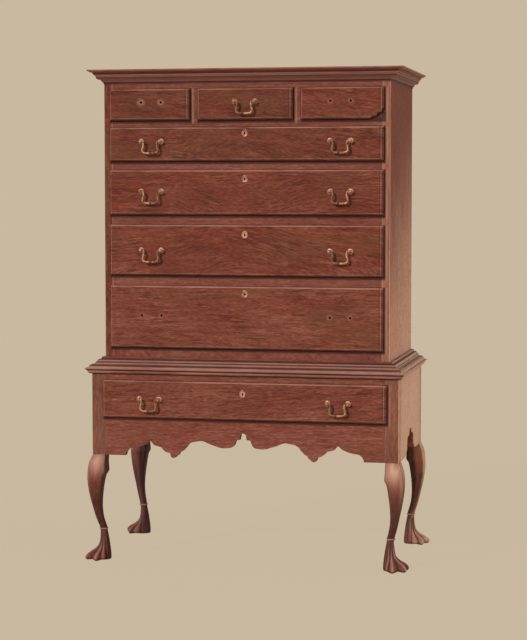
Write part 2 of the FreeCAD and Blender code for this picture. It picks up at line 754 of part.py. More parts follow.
def brasses(name, pulls, places):
    """The posts, nuts and escutcheon of one drawer as a group, and each bail as its own node."""
    field_y, post_z, key_z = places
    pieces = []
    if key_z:
        pieces.append(placed(escutcheon, 0, field_y, key_z))
    for hand, centre in pulls:
        for side in (-1, 1):
            for piece in posts[-side]:
                pieces.append(placed(piece, centre + side * size.post_spacing / 2, field_y, post_z))
        label = f"{name}_bail_{hand}" if hand else f"{name}_bail"
        keep(solid(label, placed(bail, centre, field_y - size.pivot_reach, post_z)))
    if pieces:
        keep(solid(f"{name}_brasses", Part.makeCompound(pieces)))


both_pulls = ["-sizes.pull_offset", "sizes.pull_offset"]
upper_drawer_back = f"({upper_back_inside} - sizes.drawer_end_gap)"
lower_drawer_back = f"({lower_back_inside} - sizes.drawer_end_gap)"
left_span = (negative(upper_inside), negative(divider_outer))
centre_span = (negative(divider_inner), divider_inner)
right_span = (divider_outer, upper_inside)
hands = [("left", -size.pull_offset), ("right", size.pull_offset)]

# Drawers of the upper case: name, opening across, its level, pull centres, how far down the pulls
# and the keyhole are, and the pulls that are still fitted. The rest have only their holes.
drawers = [
    ("small_drawer_left", left_span, "small", both_pulls[:1], "small_pull_drop", None, []),
    ("small_drawer_centre", centre_span, "small", ["0"], "small_pull_drop", None, [("", 0)]),
    ("small_drawer_right", right_span, "small", both_pulls[1:], "small_pull_drop", None, []),
    ("long_drawer_1", upper_inner, "long_1", both_pulls, "long_1_pull_drop", "long_1_key_drop", hands),
    ("long_drawer_2", upper_inner, "long_2", both_pulls, "long_2_pull_drop", "long_2_key_drop", hands),
    ("long_drawer_3", upper_inner, "long_3", both_pulls, "long_3_pull_drop", "long_3_key_drop", hands),
    ("long_drawer_4", upper_inner, "long_4", both_pulls, "long_4_pull_drop", "long_4_key_drop", []),
]
for name, span, level, centres, pull_drop, key_drop, fitted in drawers:
    places = drawer(name, span, floors[level], ceilings[level], upper_face, upper_drawer_back,
                    centres, pull_drop, key_drop, bool(fitted), name == "small_drawer_right")
    brasses(name, fitted, places)
places = drawer("lower_drawer", between_posts, f"({lower_opening_floor})",
                f"({lower_opening_ceiling})", f"({front_face})", lower_drawer_back, both_pulls,
                "lower_pull_drop", "lower_key_drop", True)
brasses("lower_drawer", hands, places)

# ---------------------------------------------------------------- checks and export
doc.recompute()
for piece in doc.Objects:
    if {"Invalid", "Error"} & set(piece.State):
        raise RuntimeError(f"{piece.Label} failed: {piece.State}")
for piece in nodes:
    if piece.Shape.isNull() or not piece.Shape.isValid():
        raise RuntimeError(f"{piece.Label} has no valid shape")
os.makedirs("parts", exist_ok=True)
for piece in nodes:
    piece.Shape.exportStep(f"parts/{piece.Label}.step")
print(len(nodes), "nodes written")
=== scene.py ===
# Queen Anne highboy: streaky old wood, worn edges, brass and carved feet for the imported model.
import bmesh
import bpy
import functools
import math
import random
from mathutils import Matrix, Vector


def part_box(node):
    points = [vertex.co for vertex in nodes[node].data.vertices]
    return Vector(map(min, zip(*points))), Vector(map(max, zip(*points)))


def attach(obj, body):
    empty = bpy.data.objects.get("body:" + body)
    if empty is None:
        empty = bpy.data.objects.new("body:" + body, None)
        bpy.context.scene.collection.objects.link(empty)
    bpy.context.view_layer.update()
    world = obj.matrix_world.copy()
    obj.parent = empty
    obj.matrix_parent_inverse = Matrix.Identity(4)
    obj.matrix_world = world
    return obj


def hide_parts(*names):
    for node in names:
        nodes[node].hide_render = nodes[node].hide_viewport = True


scene = bpy.context.scene
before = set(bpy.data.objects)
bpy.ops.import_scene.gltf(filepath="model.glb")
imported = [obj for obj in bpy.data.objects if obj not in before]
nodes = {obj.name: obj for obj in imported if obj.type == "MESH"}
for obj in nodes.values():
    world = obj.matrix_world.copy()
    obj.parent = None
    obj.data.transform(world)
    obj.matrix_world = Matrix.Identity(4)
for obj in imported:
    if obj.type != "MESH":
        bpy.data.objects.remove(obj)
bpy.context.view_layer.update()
print("frame loaded:", len(nodes), "nodes")


# A method that joins a wire to another wire or to a number, in this order or swapped.
def joining(operation, swapped=False):
    def join(self, other=0):
        first, second = (other, self) if swapped else (self, other)
        return self.shader.node("ShaderNodeMath", {"operation": operation}, {0: first, 1: second})
    return join


# A socket with arithmetic, so that masks and patterns read as plain expressions.
class Wire:
    def __init__(self, shader, socket):
        self.shader = shader
        self.socket = socket

    __add__, __radd__ = joining("ADD"), joining("ADD", True)
    __sub__, __rsub__ = joining("SUBTRACT"), joining("SUBTRACT", True)
    __mul__, __rmul__ = joining("MULTIPLY"), joining("MULTIPLY", True)
    __truediv__, __rtruediv__ = joining("DIVIDE"), joining("DIVIDE", True)
    __pow__, least, most = joining("POWER"), joining("MINIMUM"), joining("MAXIMUM")
    sine, floor = joining("SINE"), joining("FLOOR")

    # 0 at the first value and 1 at the second, which may be the smaller one
    def rise(self, start, end):
        low, high = min(start, end), max(start, end)
        up = self.shader.node("ShaderNodeMapRange", {"interpolation_type": "SMOOTHSTEP"},
                              {"Value": self, "From Min": low, "From Max": high})
        return up if start < end else 1 - up

    # what lay about a half lies about 0
    def swing(self, amount):
        return (self - 0.5) * amount

    # what ran from 0 to 1 runs from low to high
    def between(self, low, high):
        return self * (high - low) + low

    def towards(self, other, share):
        return self * (1 - share) + other * share


class Shader:
    def __init__(self, name, tree=None):
        self.material = None
        if tree is None:
            self.material = bpy.data.materials.new(name)
            self.material.use_nodes = True
        self.tree = tree or self.material.node_tree
        self.tree.nodes.clear()

    # One node: its kind, its settings (set first), and the values or wires of its sockets.
    def node(self, kind, settings=None, sockets=None, output=0):
        made = self.tree.nodes.new(kind)
        for name, value in (settings or {}).items():
            if name == "stops":
                stops = made.color_ramp.elements
                while len(stops) < len(value):
                    stops.new(1)
                for stop, (place, colour) in zip(stops, value):
                    stop.position = place
                    stop.color = colour
            else:
                setattr(made, name, value)
        for place, value in (sockets or {}).items():
            if isinstance(value, Wire):
                self.tree.links.new(value.socket, made.inputs[place])
            else:
                made.inputs[place].default_value = value
        return Wire(self, made.outputs[output]) if len(made.outputs) else made

    def parts(self, vector):
        split = self.node("ShaderNodeSeparateXYZ", sockets={0: vector}).socket.node
        return [Wire(self, socket) for socket in split.outputs]

    def axes(self):
        return dict(zip("xyz", self.parts(self.node("ShaderNodeTexCoord", output="Object"))))

    def attribute(self, name):
        return self.node("ShaderNodeAttribute", {"attribute_name": name}, output=2)

    def vector(self, x, y, z):
        return self.node("ShaderNodeCombineXYZ", sockets={0: x, 1: y, 2: z})

    def noise(self, vector, scale=1.0, detail=2.0, roughness=0.5):
        return self.node("ShaderNodeTexNoise", {"noise_dimensions": "3D"},
                         {"Vector": vector, "Scale": scale, "Detail": detail,
                          "Roughness": roughness})

    def blend(self, amount, first, second, way="MIX"):
        return self.node("ShaderNodeMix", {"data_type": "RGBA", "blend_type": way},
                         {0: amount, 6: first, 7: second}, output=2)

    def ramp(self, value, stops):
        return self.node("ShaderNodeValToRGB", {"stops": stops}, {0: value})

    def finish(self, colour, roughness, height, depth, metallic=0.0, shine=0.5):
        bump = self.node("ShaderNodeBump", sockets={"Strength": 1.0, "Distance": depth,
                                                    "Height": height})
        surface = self.node("ShaderNodeBsdfPrincipled", sockets={
            "Base Color": colour, "Roughness": roughness, "Metallic": metallic, "Normal": bump,
            "Specular IOR Level": shine})
        self.node("ShaderNodeOutputMaterial", sockets={"Surface": surface})
        return self.material


# A colour as it looks on screen, from 0 to 255, as the shader's own linear colour.
def tone(red, green, blue):
    parts = [part / 255 for part in (red, green, blue)]
    return tuple(part / 12.92 if part <= 0.04045 else ((part + 0.055) / 1.055) ** 2.4
                 for part in parts) + (1.0,)


def clamp(value):
    return min(1.0, max(0.0, value))


# Finished wood. The grain follows growth rings about a heart line, so that a board sawn near its
# heart shows arches and one sawn far from it shows straight streaks.
woodLook = {
    # how often each pattern of lines changes along and across the grain, per metre
    "streak": (6.0, 70.0), "dash": (18.0, 200.0), "fine": (60.0, 360.0), "pore": (160.0, 1500.0),
    "sway": 0.012, "curled": 0.01,      # how far the grain wanders and curls, in metres
    "weights": (0.38, 0.42, 0.75, 0.3),     # of the streaks, dashes, fine lines and patches
    "ramp": [(0.1, tone(58, 29, 24)), (0.34, tone(97, 52, 40)), (0.5, tone(118, 66, 51)),
             (0.66, tone(137, 82, 64)), (0.9, tone(166, 113, 93))],
    "fadedAndLit": [(0.1, tone(148, 88, 64)), (0.34, tone(188, 132, 105)), (0.5, tone(211, 157, 131)),
              (0.66, tone(224, 177, 152)), (0.9, tone(234, 198, 176))],
    "warm": tone(150, 58, 34), "olive": tone(104, 68, 43), "pink": tone(134, 84, 80),
    # the grime colour serves dirt and painted shade, and the worn colour serves wear and painted
    # highlights
    "stroke": tone(62, 26, 20), "grime": tone(44, 25, 27), "worn": tone(186, 142, 119),
    "speck": tone(214, 150, 132), "blot": tone(136, 62, 50),
    "warmth": 0.5, "browning": 0.4,      # how far the redder and browner patches go
    "rubbedEdge": (0.0036, 0.0008),      # where the wear on an edge starts and is full, in metres
    "outerSkin": (0.004, 0.0006),        # how deep the paler outer face is, in metres
    "rightwards": (0.3, 0.65),           # how far a face turns to the right before it gets painted light
    "roughness": 0.58, "shine": 0.1, "relief": 0.00045,
}

# Bands along a drawer front's lip. The rubbed bands are wear and painted highlight, strongest on
# the top and left edges where the light falls. The dirty bands are dirt and painted shade,
# strongest under the lip and to its right, where its shadow falls. Each band gives the edge that
# it follows, how far from the edge it starts and is full, the same on its other side if it has
# one, and how strong it is.
lipLook = {
    "rubbedAndLit": [("top", (0.0054, 0.0032), None, 0.56), ("left", (0.0056, 0.003), None, 0.36),
               ("right", (0.0115, 0.0095), (0.006, 0.008), 0.3),
               ("under", (0.01, 0.0075), (0.004, 0.0065), 0.25)],
    "dirtAndShade": [("under", (0.007, 0.003), None, 0.72), ("right", (0.0062, 0.004), None, 0.36),
              ("right", (0.016, 0.014), (0.0108, 0.0128), 0.45)],
}

# How far outside each edge of a box's front a place is.
def outside(axes, low, high):
    return {"left": low.x - axes["x"], "right": axes["x"] - high.x,
            "under": low.z - axes["z"], "top": axes["z"] - high.z}


def lipBands(kind, mask, axes, box, share):
    gaps = outside(axes, *box)
    for edge, outer, inner, strength in lipLook[kind]:
        inwards = 0.0 - gaps[edge]
        band = inwards.rise(*outer) * share * strength
        mask = mask.most(band * inwards.rise(*inner) if inner else band)
    return mask


# Painted shade and dirt on the case round each drawer front, most of it under the lip and to its
# right where the lip's shadow falls, and a painted highlight line on the case to the right of each
# front. Each pair is how far outside an edge something starts and is full, in metres.
def seamMarks(axes, seams, patches, wearAndHighlight, grime):
    for box in seams:
        left, right, under, top = outside(axes, *box).values()
        inX = left.rise(0.004, 0.0) * right.rise(0.008, 0.004)
        inZ = under.rise(0.012, 0.008) * top.rise(0.003, -0.001)
        # a painted highlight line on the case a little to the right of the front
        lit = right.rise(0.015, 0.011) * right.rise(0.005, 0.008) * inZ
        wearAndHighlight = wearAndHighlight.most(lit * patches.between(0.5, 1.0) * 0.42)
        # painted shade and dirt round the front, strongest under it
        shadeAndDirt = (under.rise(0.01, 0.005) * inX).most(right.rise(0.0034, 0.0016) * inZ * 0.4)
        shadeAndDirt = shadeAndDirt.most(left.rise(0.005, 0.0024) * inZ)
        shadeAndDirt = shadeAndDirt.most(top.rise(0.0028, 0.0008) * inX * 0.35)
        near = (left.rise(0.004, 0.001) * right.rise(0.009, 0.002)
                * top.rise(0.003, 0.0006) * under.rise(0.013, 0.005))
        grime = grime.most(near * shadeAndDirt * 0.92)
    return wearAndHighlight, grime


# The outer face of a side, paler from one height to another, as fading and as painted light on the
# side, with pale specks and dark blots.
def fadedAndLitSide(shader, fade, box, axes, colour, grain, streaks, patches, specks):
    look = woodLook
    side, start, end = fade
    face = max(abs(box[0].x), abs(box[1].x))
    outer = (axes["x"] * side).rise(*[face - depth for depth in look["outerSkin"]])
    amount = axes["z"] + patches.swing(0.35) + streaks.swing(0.4) - axes["y"] * 0.5
    amount = amount.rise(start, end)
    colour = shader.blend(amount * outer, colour, shader.ramp(grain, look["fadedAndLit"]))
    pale = specks.rise(0.52, 0.7) * outer * amount.between(0.2, 0.6)
    colour = shader.blend(pale, colour, look["speck"])
    return shader.blend(specks.rise(0.47, 0.3) * outer * 0.6, colour, look["blot"])


# along: the axes along the grain, across it, and into the board, such as "xzy".
# board: what sets this board apart, in metres and in shares from 0 to 1.
#   heart (along, across, depth, slope): the heart line's place from the board's middle, how deep
#   it is there and how fast it rises along the board;
#   light, warm and pink: how much lighter, redder and pinker it is;
#   streak, dash, fine, pore and sway: its own values in place of those in woodLook;
#   strokes and ink: how many short strokes there are, and how dark they are;
#   figures: where the grain runs at a slope, as (along, across, length, height, slope);
#   fade (side, start, end): an outer face that is bleached from one height to another;
#   bleached, pale and cleaned: painted light on its faces towards the right: how pale they are,
#   their colour, and how much of their dirt and painted shade is taken away; stile: how pale its
#   front edge is;
#   wear and rubbed: how worn its edges are, and its colour where it is worn or has a painted
#   highlight; lip: a drawer front with a lip, with bands of wear and painted highlight and of dirt
#   and painted shade along it; worked: a mesh of this script's own, with its wear and painted
#   highlights, and its dirt and painted shade;
#   sawn and joint: how dark the edges round its face and the joints at its ends are.
def wood(name, box, along, board=None, seams=(), marks=None):
    board = board or {}
    look = woodLook
    shader = Shader(name)
    chance = random.Random(name)
    axes = shader.axes()
    low, high = box
    middle = (low + high) / 2
    u, straightV, w = [axes[axis] - middle["xyz".index(axis)] for axis in along]
    shift = {axis: chance.uniform(-5, 5) for axis in "xyz"}

    # how often it changes along, across and into the board, per metre, and which shift moves each
    def pattern(across, rates, shifts, detail=2.0, roughness=0.5):
        places = [wire * rate + shift.get(axis, 0.0)
                  for wire, rate, axis in zip((u, across, w), rates, shifts)]
        return shader.noise(shader.vector(*places), detail=detail, roughness=roughness)

    wander = pattern(straightV, (2.6, 8.0, 7.0), "xy-", 3.0)
    curl = pattern(straightV, (14.0, 30.0, 20.0), "yx-")
    v = straightV + wander.swing(2 * board.get("sway", look["sway"])) + curl.swing(look["curled"])
    heartU, heartV, deep, slope = board.get("heart", (0.0, chance.choice((-0.5, 0.5)), 0.3, 0.02))
    offV = v - heartV
    depth = (u - heartU) * slope + deep + w * 0.6
    ring = (offV * offV + depth * depth) ** 0.5

    def lines(kind, detail, roughness=0.6, turn=0.0):
        often, across = board.get(kind, look[kind])
        place = shader.vector(u * often + shift["z"] + turn, ring * across + shift["x"] - turn,
                              w * often)
        return shader.noise(place, detail=detail, roughness=roughness)

    streaks, dashes = lines("streak", 3.0), lines("dash", 2.0)
    strokes = lines("dash", 2.0, 0.5, 3.7)
    for placeU, placeV, wide, tall, slope in board.get("figures", ()):
        offU, offV = u - placeU, straightV - placeV
        nearU, nearV = offU / wide, offV / tall
        inside = (nearU * nearU + nearV * nearV + curl.swing(1.6)).rise(1.3, 0.5)
        turn = math.atan(slope)
        turnedU = offU * math.cos(turn) + offV * math.sin(turn)
        turnedV = offV * math.cos(turn) - offU * math.sin(turn) + wander.swing(0.02)
        often, across = look["dash"]
        place = shader.vector(turnedU * often + shift["y"], turnedV * across,
                              w * often + shift["z"])
        own = shader.noise(place, detail=2.0, roughness=0.6)
        dashes = dashes.towards(own, inside)
        strokes = strokes.towards(own.swing(1.5) + 0.545, inside)
    fine, pores = lines("fine", 2.0), lines("pore", 1.0)
    patches = pattern(v, (5.0, 11.0, 9.0), "xz-", 4.0, 0.6)
    grain = 0.5 + board.get("light", 0.0)
    for wire, weight in zip((streaks, dashes, fine, patches), look["weights"]):
        grain = grain + wire.swing(weight)
    darkPores = pores.rise(0.42, 0.26)
    flecks = (pores * 0.6 + fine * 0.4).rise(0.58, 0.68)
    colour = shader.ramp(grain - darkPores * 0.1 + flecks * 0.08, look["ramp"])
    redness = pattern(v, (4.0, 14.0, 14.0), "y-x", 3.0)
    redness = (redness.rise(0.35, 0.75) * 0.6 + board.get("warm", 0.25)).least(1.0)
    colour = shader.blend(redness * look["warmth"], colour, look["warm"], "SOFT_LIGHT")
    brown = pattern(v, (3.0, 7.0, 9.0), "zy-")
    colour = shader.blend(brown.rise(0.5, 0.72) * look["browning"], colour, look["olive"])
    if "pink" in board:
        colour = shader.blend(patches.between(0.7, 1.3) * board["pink"], colour, look["pink"])
    if "fade" in board:
        colour = fadedAndLitSide(shader, board["fade"], box, axes, colour, grain, streaks, patches,
                           pattern(v, (90.0, 170.0, 90.0), "x-z", 3.0))
    faces = shader.parts(shader.node("ShaderNodeNewGeometry", output="Normal"))
    rightFace = faces[0].rise(*look["rightwards"])
    # painted light: faces that turn to the right are made paler
    if "rightLit" in board:
        pale = shader.blend(0.7, colour, board.get("pale", look["worn"]))
        colour = shader.blend(rightFace * board["rightLit"], colour, pale)
    if "stile" in board:
        front = (0.0 - faces[1]).rise(0.5, 0.9) * patches.between(0.75, 1.25)
        colour = shader.blend(front * board["stile"], colour, look["worn"])
    gather = pattern(v, (7.0, 17.0, 9.0), "zy-").rise(0.36, 0.62)
    many = board.get("strokes", 0.6)
    darkStrokes = strokes.rise(0.58, 0.635) * gather.between(0.3, 1.0) * many
    paleStrokes = strokes.rise(0.43, 0.35) * gather.between(0.2, 0.8) * many
    colour = shader.blend(darkStrokes * board.get("ink", 0.64), colour, look["stroke"])
    colour = shader.blend(paleStrokes * 0.2, colour, look["worn"])

    # how near each of the box's faces is; the middle one of the three is the nearest edge
    gaps = [(axes[axis] - low[number]).least(high[number] - axes[axis])
            for number, axis in enumerate("xyz")]
    nearest, farthest = [functools.reduce(way, gaps) for way in (Wire.least, Wire.most)]
    edge = gaps[0] + gaps[1] + gaps[2] - nearest - farthest
    wearAndHighlight = edge.rise(*look["rubbedEdge"]) * (patches + dashes * 0.5).rise(0.5, 0.95)
    wearAndHighlight = wearAndHighlight * board.get("wearAndHighlight", 0.5)
    grime = streaks * 0.0       # none yet
    # the lip's bands: wear and painted highlight, and dirt and painted shade
    if board.get("lip"):
        uneven = (streaks * 0.5 + patches * 0.5).rise(0.34, 0.62).between(0.25, 1.0)
        wearAndHighlight = lipBands("rubbedAndLit", wearAndHighlight, axes, box, uneven)
        grime = lipBands("dirtAndShade", grime, axes, box, 1.0)
    # the mesh's own values: wear and painted highlights, and dirt and painted shade
    if board.get("worked"):
        broken = (patches + dashes * 0.5).rise(0.45, 0.9).between(0.65, 1.0)
        wearAndHighlight = wearAndHighlight.most(shader.attribute("worn") * broken)
        # faces towards the right lose part of their dirt and painted shade, as painted light
        grime = grime.most(shader.attribute("grime") * (1 - rightFace * board.get("rightLessShade", 0.0)))
    # painted shade on the edge faces round the board's face
    if "sawn" in board:
        facing = faces["xyz".index(along[2])]
        grime = grime.most((facing * facing).rise(0.75, 0.2) * board["sawn"])
    if "joint" in board:
        ends = (axes["x"] - low.x).least(high.x - axes["x"])
        grime = grime.most(ends.rise(0.003, 0.0012) * board["joint"])
    wearAndHighlight, grime = seamMarks(axes, seams, patches, wearAndHighlight, grime)
    # wear and painted highlights, then dirt and painted shade, over the wood's own colour
    colour = shader.blend(wearAndHighlight.least(1.0), colour, board.get("rubbedAndLit", look["worn"]))
    colour = shader.blend(grime.least(1.0) * (0.86 + dashes.swing(0.6)), colour, look["grime"])
    if marks:
        colour = marks(shader, axes, colour, grain)
    roughness = look["roughness"] + streaks.swing(0.22) + darkPores * 0.12 - wearAndHighlight * 0.08
    height = fine * 0.45 + dashes * 0.35 + pores.rise(0.2, 0.5) * 0.2 - darkStrokes * 0.5
    return shader.finish(colour, roughness, height, look["relief"], shine=look["shine"])


# Inner wood: pine gone brown with age, in boards joined edge to edge.
pineLook = {
    "ramp": [(0.15, tone(98, 66, 41)), (0.42, tone(138, 100, 64)), (0.62, tone(162, 123, 82)),
             (0.85, tone(182, 146, 103))],
    "dust": tone(92, 66, 46), "dusty": 0.4,
    "join": tone(40, 26, 19), "joinWidth": (0.0016, 0.0007), "joinEnds": (0.003, 0.006),
    "ringRate": 620.0,          # how fast the growth rings follow each other, in radians per metre
    "ringWander": 0.045, "fibreRate": 800.0,
    "roughness": 0.72, "relief": 0.0003,
}


# along: as for wood; boards: how many boards stand side by side across the grain.
def pine(name, box, along, boards=1):
    look = pineLook
    shader = Shader(name)
    chance = random.Random(name)
    axes = shader.axes()
    low, high = box
    across = "xyz".index(along[1])
    width = (high[across] - low[across]) / boards
    middle = (low + high) / 2
    fromEdge = axes[along[1]] - low[across]
    number = (fromEdge / width).floor()
    shift = shader.noise(shader.vector(number * 3.7 + chance.uniform(0, 9), 0.5, 0.5), detail=0.0)
    u, v, w = [axes[axis] - middle["xyz".index(axis)] + chance.uniform(-0.4, 0.4)
               for axis in along]
    u = u + number * 1.3
    v = v - number * width * 0.8
    wander = shader.noise(shader.vector(u * 1.7, v * 5.0, w * 5.0), detail=3.0)
    ring = ((v - 0.4) * (v - 0.4) + (w * 0.8 + u * 0.03 + 0.12 + shift * 0.2) ** 2.0) ** 0.5
    ring = ring + wander * look["ringWander"]
    uneven = shader.noise(shader.vector(u * 0.6, ring * 30.0, 0.5), detail=2.0)
    rings = (ring * look["ringRate"] + uneven * 9.0).sine() * 0.5 + 0.5
    fibre = shader.noise(shader.vector(u * 22.0, ring * look["fibreRate"], w * 60.0), detail=3.0)
    dust = shader.noise(shader.vector(u * 3.0, v * 13.0, w * 13.0), detail=5.0, roughness=0.65)
    grain = 0.66 - rings ** 3.0 * (0.1 + uneven * 0.22) + fibre.swing(0.5)
    grain = grain + shift.swing(0.5) + dust.swing(0.35)
    colour = shader.ramp(grain, look["ramp"])
    colour = shader.blend(dust.rise(0.48, 0.8) * look["dusty"], colour, look["dust"], "MULTIPLY")
    gap = fromEdge - number * width
    gap = gap.least(width - gap).rise(*look["joinWidth"])
    inside = fromEdge.rise(*look["joinEnds"])
    inside = inside * (high[across] - axes[along[1]]).rise(*look["joinEnds"])
    colour = shader.blend(gap * inside * 0.85, colour, look["join"])
    return shader.finish(colour, look["roughness"] + fibre.swing(0.2), rings * 0.3 + fibre * 0.7,
                         look["relief"])


# Old brass: dull tan where hands rub it, brown where they don't.
brassLook = {
    "bright": tone(188, 150, 116), "dull": tone(138, 101, 72), "tarnish": tone(58, 38, 27),
    "cloud": 120.0, "spot": 620.0,       # how often its patches and its spots change, per metre
    "crease": (0.49, 0.44),              # pointiness where dirt starts to gather and is full
    "roughness": 0.5, "metallic": 0.5, "relief": 0.00025,
}


def brass(name, tarnish=0.5, bright=brassLook["bright"]):
    look = brassLook
    shader = Shader(name)
    place = shader.node("ShaderNodeTexCoord", output="Object")
    cloud = shader.noise(place, look["cloud"], 4.0, 0.6)
    spot = shader.noise(place, look["spot"], 3.0, 0.6)
    crease = shader.node("ShaderNodeNewGeometry", output="Pointiness")
    colour = shader.blend(cloud.rise(0.38, 0.62), bright, look["dull"])
    dark = (cloud * 0.6 + spot * 0.4).rise(0.62 - tarnish * 0.2, 0.78 - tarnish * 0.2)
    dark = dark.most(crease.rise(*look["crease"])) * (0.4 + tarnish)
    # painted shade round a plate's keyhole, from its mesh
    dark = dark.most(shader.attribute("grime")).least(0.94)
    colour = shader.blend(dark, colour, look["tarnish"])
    roughness = look["roughness"] + dark * 0.3 + spot.swing(0.15)
    return shader.finish(colour, roughness, cloud * 0.5 + spot * 0.5, look["relief"],
                         metallic=look["metallic"])


def dress(node, material):
    target = nodes[node].data.materials
    target.clear()
    target.append(material)


stageLook = {
    "paper": tone(201, 185, 161),
    "floorShare": 0.045,        # how much of the floor is lit rather than plain colour
    "floorRadius": 40.0,
    "fade": (2.2, 6.0),         # where the lit share starts to fade and is gone, in metres
    "ambient": 0.44,
}


# 1 where the camera, a mirror or a glass sees the surface, 0 where it lights something else.
def seenDirectly(shader):
    path = shader.node("ShaderNodeLightPath").socket.node
    camera, glossy, through = [Wire(shader, path.outputs[kind]) for kind in
                               ("Is Camera Ray", "Is Glossy Ray", "Is Transmission Ray")]
    return camera.most(glossy).most(through)


def addObject(name, data):
    made = bpy.data.objects.new(name, data)
    scene.collection.objects.link(made)
    return made


def makeStage():
    world = bpy.data.worlds.new("studio")
    scene.world = world
    world.use_nodes = True
    shader = Shader("studio_world", world.node_tree)
    light = shader.node("ShaderNodeBackground", sockets={"Color": (1.0, 0.985, 0.96, 1),
                                                         "Strength": stageLook["ambient"]})
    paper = shader.node("ShaderNodeBackground", sockets={"Color": stageLook["paper"]})
    mixed = shader.node("ShaderNodeMixShader", sockets={0: seenDirectly(shader), 1: light,
                                                        2: paper})
    shader.node("ShaderNodeOutputWorld", sockets={"Surface": mixed})

    mesh = bpy.data.meshes.new("floor")
    shape = bmesh.new()
    bmesh.ops.create_circle(shape, cap_ends=True, segments=96, radius=stageLook["floorRadius"])
    shape.to_mesh(mesh)
    shape.free()
    floor = addObject("floor", mesh)
    shader = Shader("floor_paper")
    x, y, _ = shader.axes().values()
    away = (x * x + y * y) ** 0.5
    plain = shader.node("ShaderNodeEmission", sockets={"Color": stageLook["paper"]})
    lit = shader.node("ShaderNodeBsdfDiffuse", sockets={"Color": stageLook["paper"]})
    share = away.rise(*stageLook["fade"]).between(1 - stageLook["floorShare"], 1.0)
    surface = shader.node("ShaderNodeMixShader", sockets={0: seenDirectly(shader) * share, 1: lit,
                                                          2: plain})
    shader.node("ShaderNodeOutputMaterial", sockets={"Surface": surface})
    mesh.materials.append(shader.material)


# Lamps: the way each one shines from (azimuth from the front to the right, elevation), how strong
# and how wide it is, in degrees.
lampLook = {
    "key": {"from": (-30.0, 27.0), "strength": 2.25, "spread": 5.0, "colour": (1.0, 0.97, 0.93)},
    "fill": {"from": (74.0, 24.0), "strength": 0.75, "spread": 60.0, "colour": (1.0, 0.98, 0.95)},
}


def makeLamps():
    for name, look in lampLook.items():
        lamp = bpy.data.lights.new(name, "SUN")
        lamp.energy = look["strength"]
        lamp.angle = math.radians(look["spread"])
        lamp.color = look["colour"]
        holder = addObject(name, lamp)
        azimuth, elevation = [math.radians(angle) for angle in look["from"]]
        towards = Vector((math.sin(azimuth) * math.cos(elevation),
                          -math.cos(azimuth) * math.cos(elevation), math.sin(elevation)))
        holder.rotation_euler = towards.to_track_quat("Z", "Y").to_euler()
        holder.location = towards * 4


cameraLook = {"place": (1.38, -6.42, 1.261), "turn": 12.05, "down": 3.99, "lens": 107.36}


def makeCamera():
    camera = bpy.data.cameras.new("camera")
    camera.sensor_fit = "AUTO"
    camera.sensor_width = 36.0
    camera.lens = cameraLook["lens"]
    camera.clip_end = 200.0
    holder = addObject("camera", camera)
    holder.location = cameraLook["place"]
    holder.rotation_euler = [math.radians(angle)
                             for angle in (90 - cameraLook["down"], 0, cameraLook["turn"])]
    scene.camera = holder
    scene.view_settings.view_transform = "Standard"


makeStage()
makeLamps()
makeCamera()
print("stage, lamps and camera made")


# Meshes. A form keeps, for each point, how much wear and painted highlight and how much dirt and
# painted shade it has, which the finishes read.
class Form:
    def __init__(self, name):
        self.name = name
        self.points, self.faces, self.worn, self.grime = [], [], [], []

    def add(self, point, worn=0.0, grime=0.0):
        self.points.append(tuple(point))
        self.worn.append(worn)
        self.grime.append(grime)
        return len(self.points) - 1

    # rows of point numbers with as many points in each, closed round or open
    def skin(self, rows, closed=True):
        for row, following in zip(rows, rows[1:]):
            for place in range(0 if closed else 1, len(row)):
                self.faces.append((row[place - 1], row[place], following[place],
                                   following[place - 1]))

    def fan(self, row, middle):
        for place in range(len(row)):
            self.faces.append((row[place - 1], row[place], middle))

    # closes the first and the last row, from the middle of each
    def cap(self, rows):
        for row in (rows[0], rows[-1]):
            middle = sum((Vector(self.points[point]) for point in row), Vector()) / len(row)
            self.fan(row, self.add(middle))

    def mesh(self, sharp=35.0):
        mesh = bpy.data.meshes.new(self.name)
        mesh.from_pydata(self.points, [], self.faces)
        for name, values in (("worn", self.worn), ("grime", self.grime)):
            mesh.attributes.new(name, "FLOAT", "POINT").data.foreach_set("value", values)
        shape = bmesh.new()
        shape.from_mesh(mesh)
        bmesh.ops.remove_doubles(shape, verts=shape.verts, dist=1e-7)
        bmesh.ops.recalc_face_normals(shape, faces=shape.faces)
        shape.to_mesh(mesh)
        shape.free()
        mesh.shade_smooth()
        mesh.set_sharp_from_angle(angle=math.radians(sharp))
        mesh.update()
        return mesh


def addPiece(form, body, material, replaced=(), sharp=35.0):
    mesh = form.mesh(sharp)
    mesh.materials.append(material)
    piece = addObject(form.name, mesh)
    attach(piece, body)
    if replaced:
        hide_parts(*replaced)


# The values at a place in a table of (place, values...) rows, along a smooth curve through them.
def smoothly(rows, place):
    place = min(max(place, rows[0][0]), rows[-1][0])
    after = max(1, next(number for number, row in enumerate(rows) if row[0] >= place))
    start, end = rows[after - 1], rows[after]
    before, beyond = rows[max(after - 2, 0)], rows[min(after + 1, len(rows) - 1)]
    span = end[0] - start[0]
    t = (place - start[0]) / span
    values = []
    for column in range(1, len(start)):
        slopeIn = (end[column] - before[column]) / (end[0] - before[0]) * span
        slopeOut = (beyond[column] - start[column]) / (beyond[0] - start[0]) * span
        values.append((2 * t ** 3 - 3 * t ** 2 + 1) * start[column]
                      + (t ** 3 - 2 * t ** 2 + t) * slopeIn
                      + (3 * t ** 2 - 2 * t ** 3) * end[column] + (t ** 3 - t ** 2) * slopeOut)
    return values


def bump(distance, width):
    return math.exp(-(distance / width) ** 2)


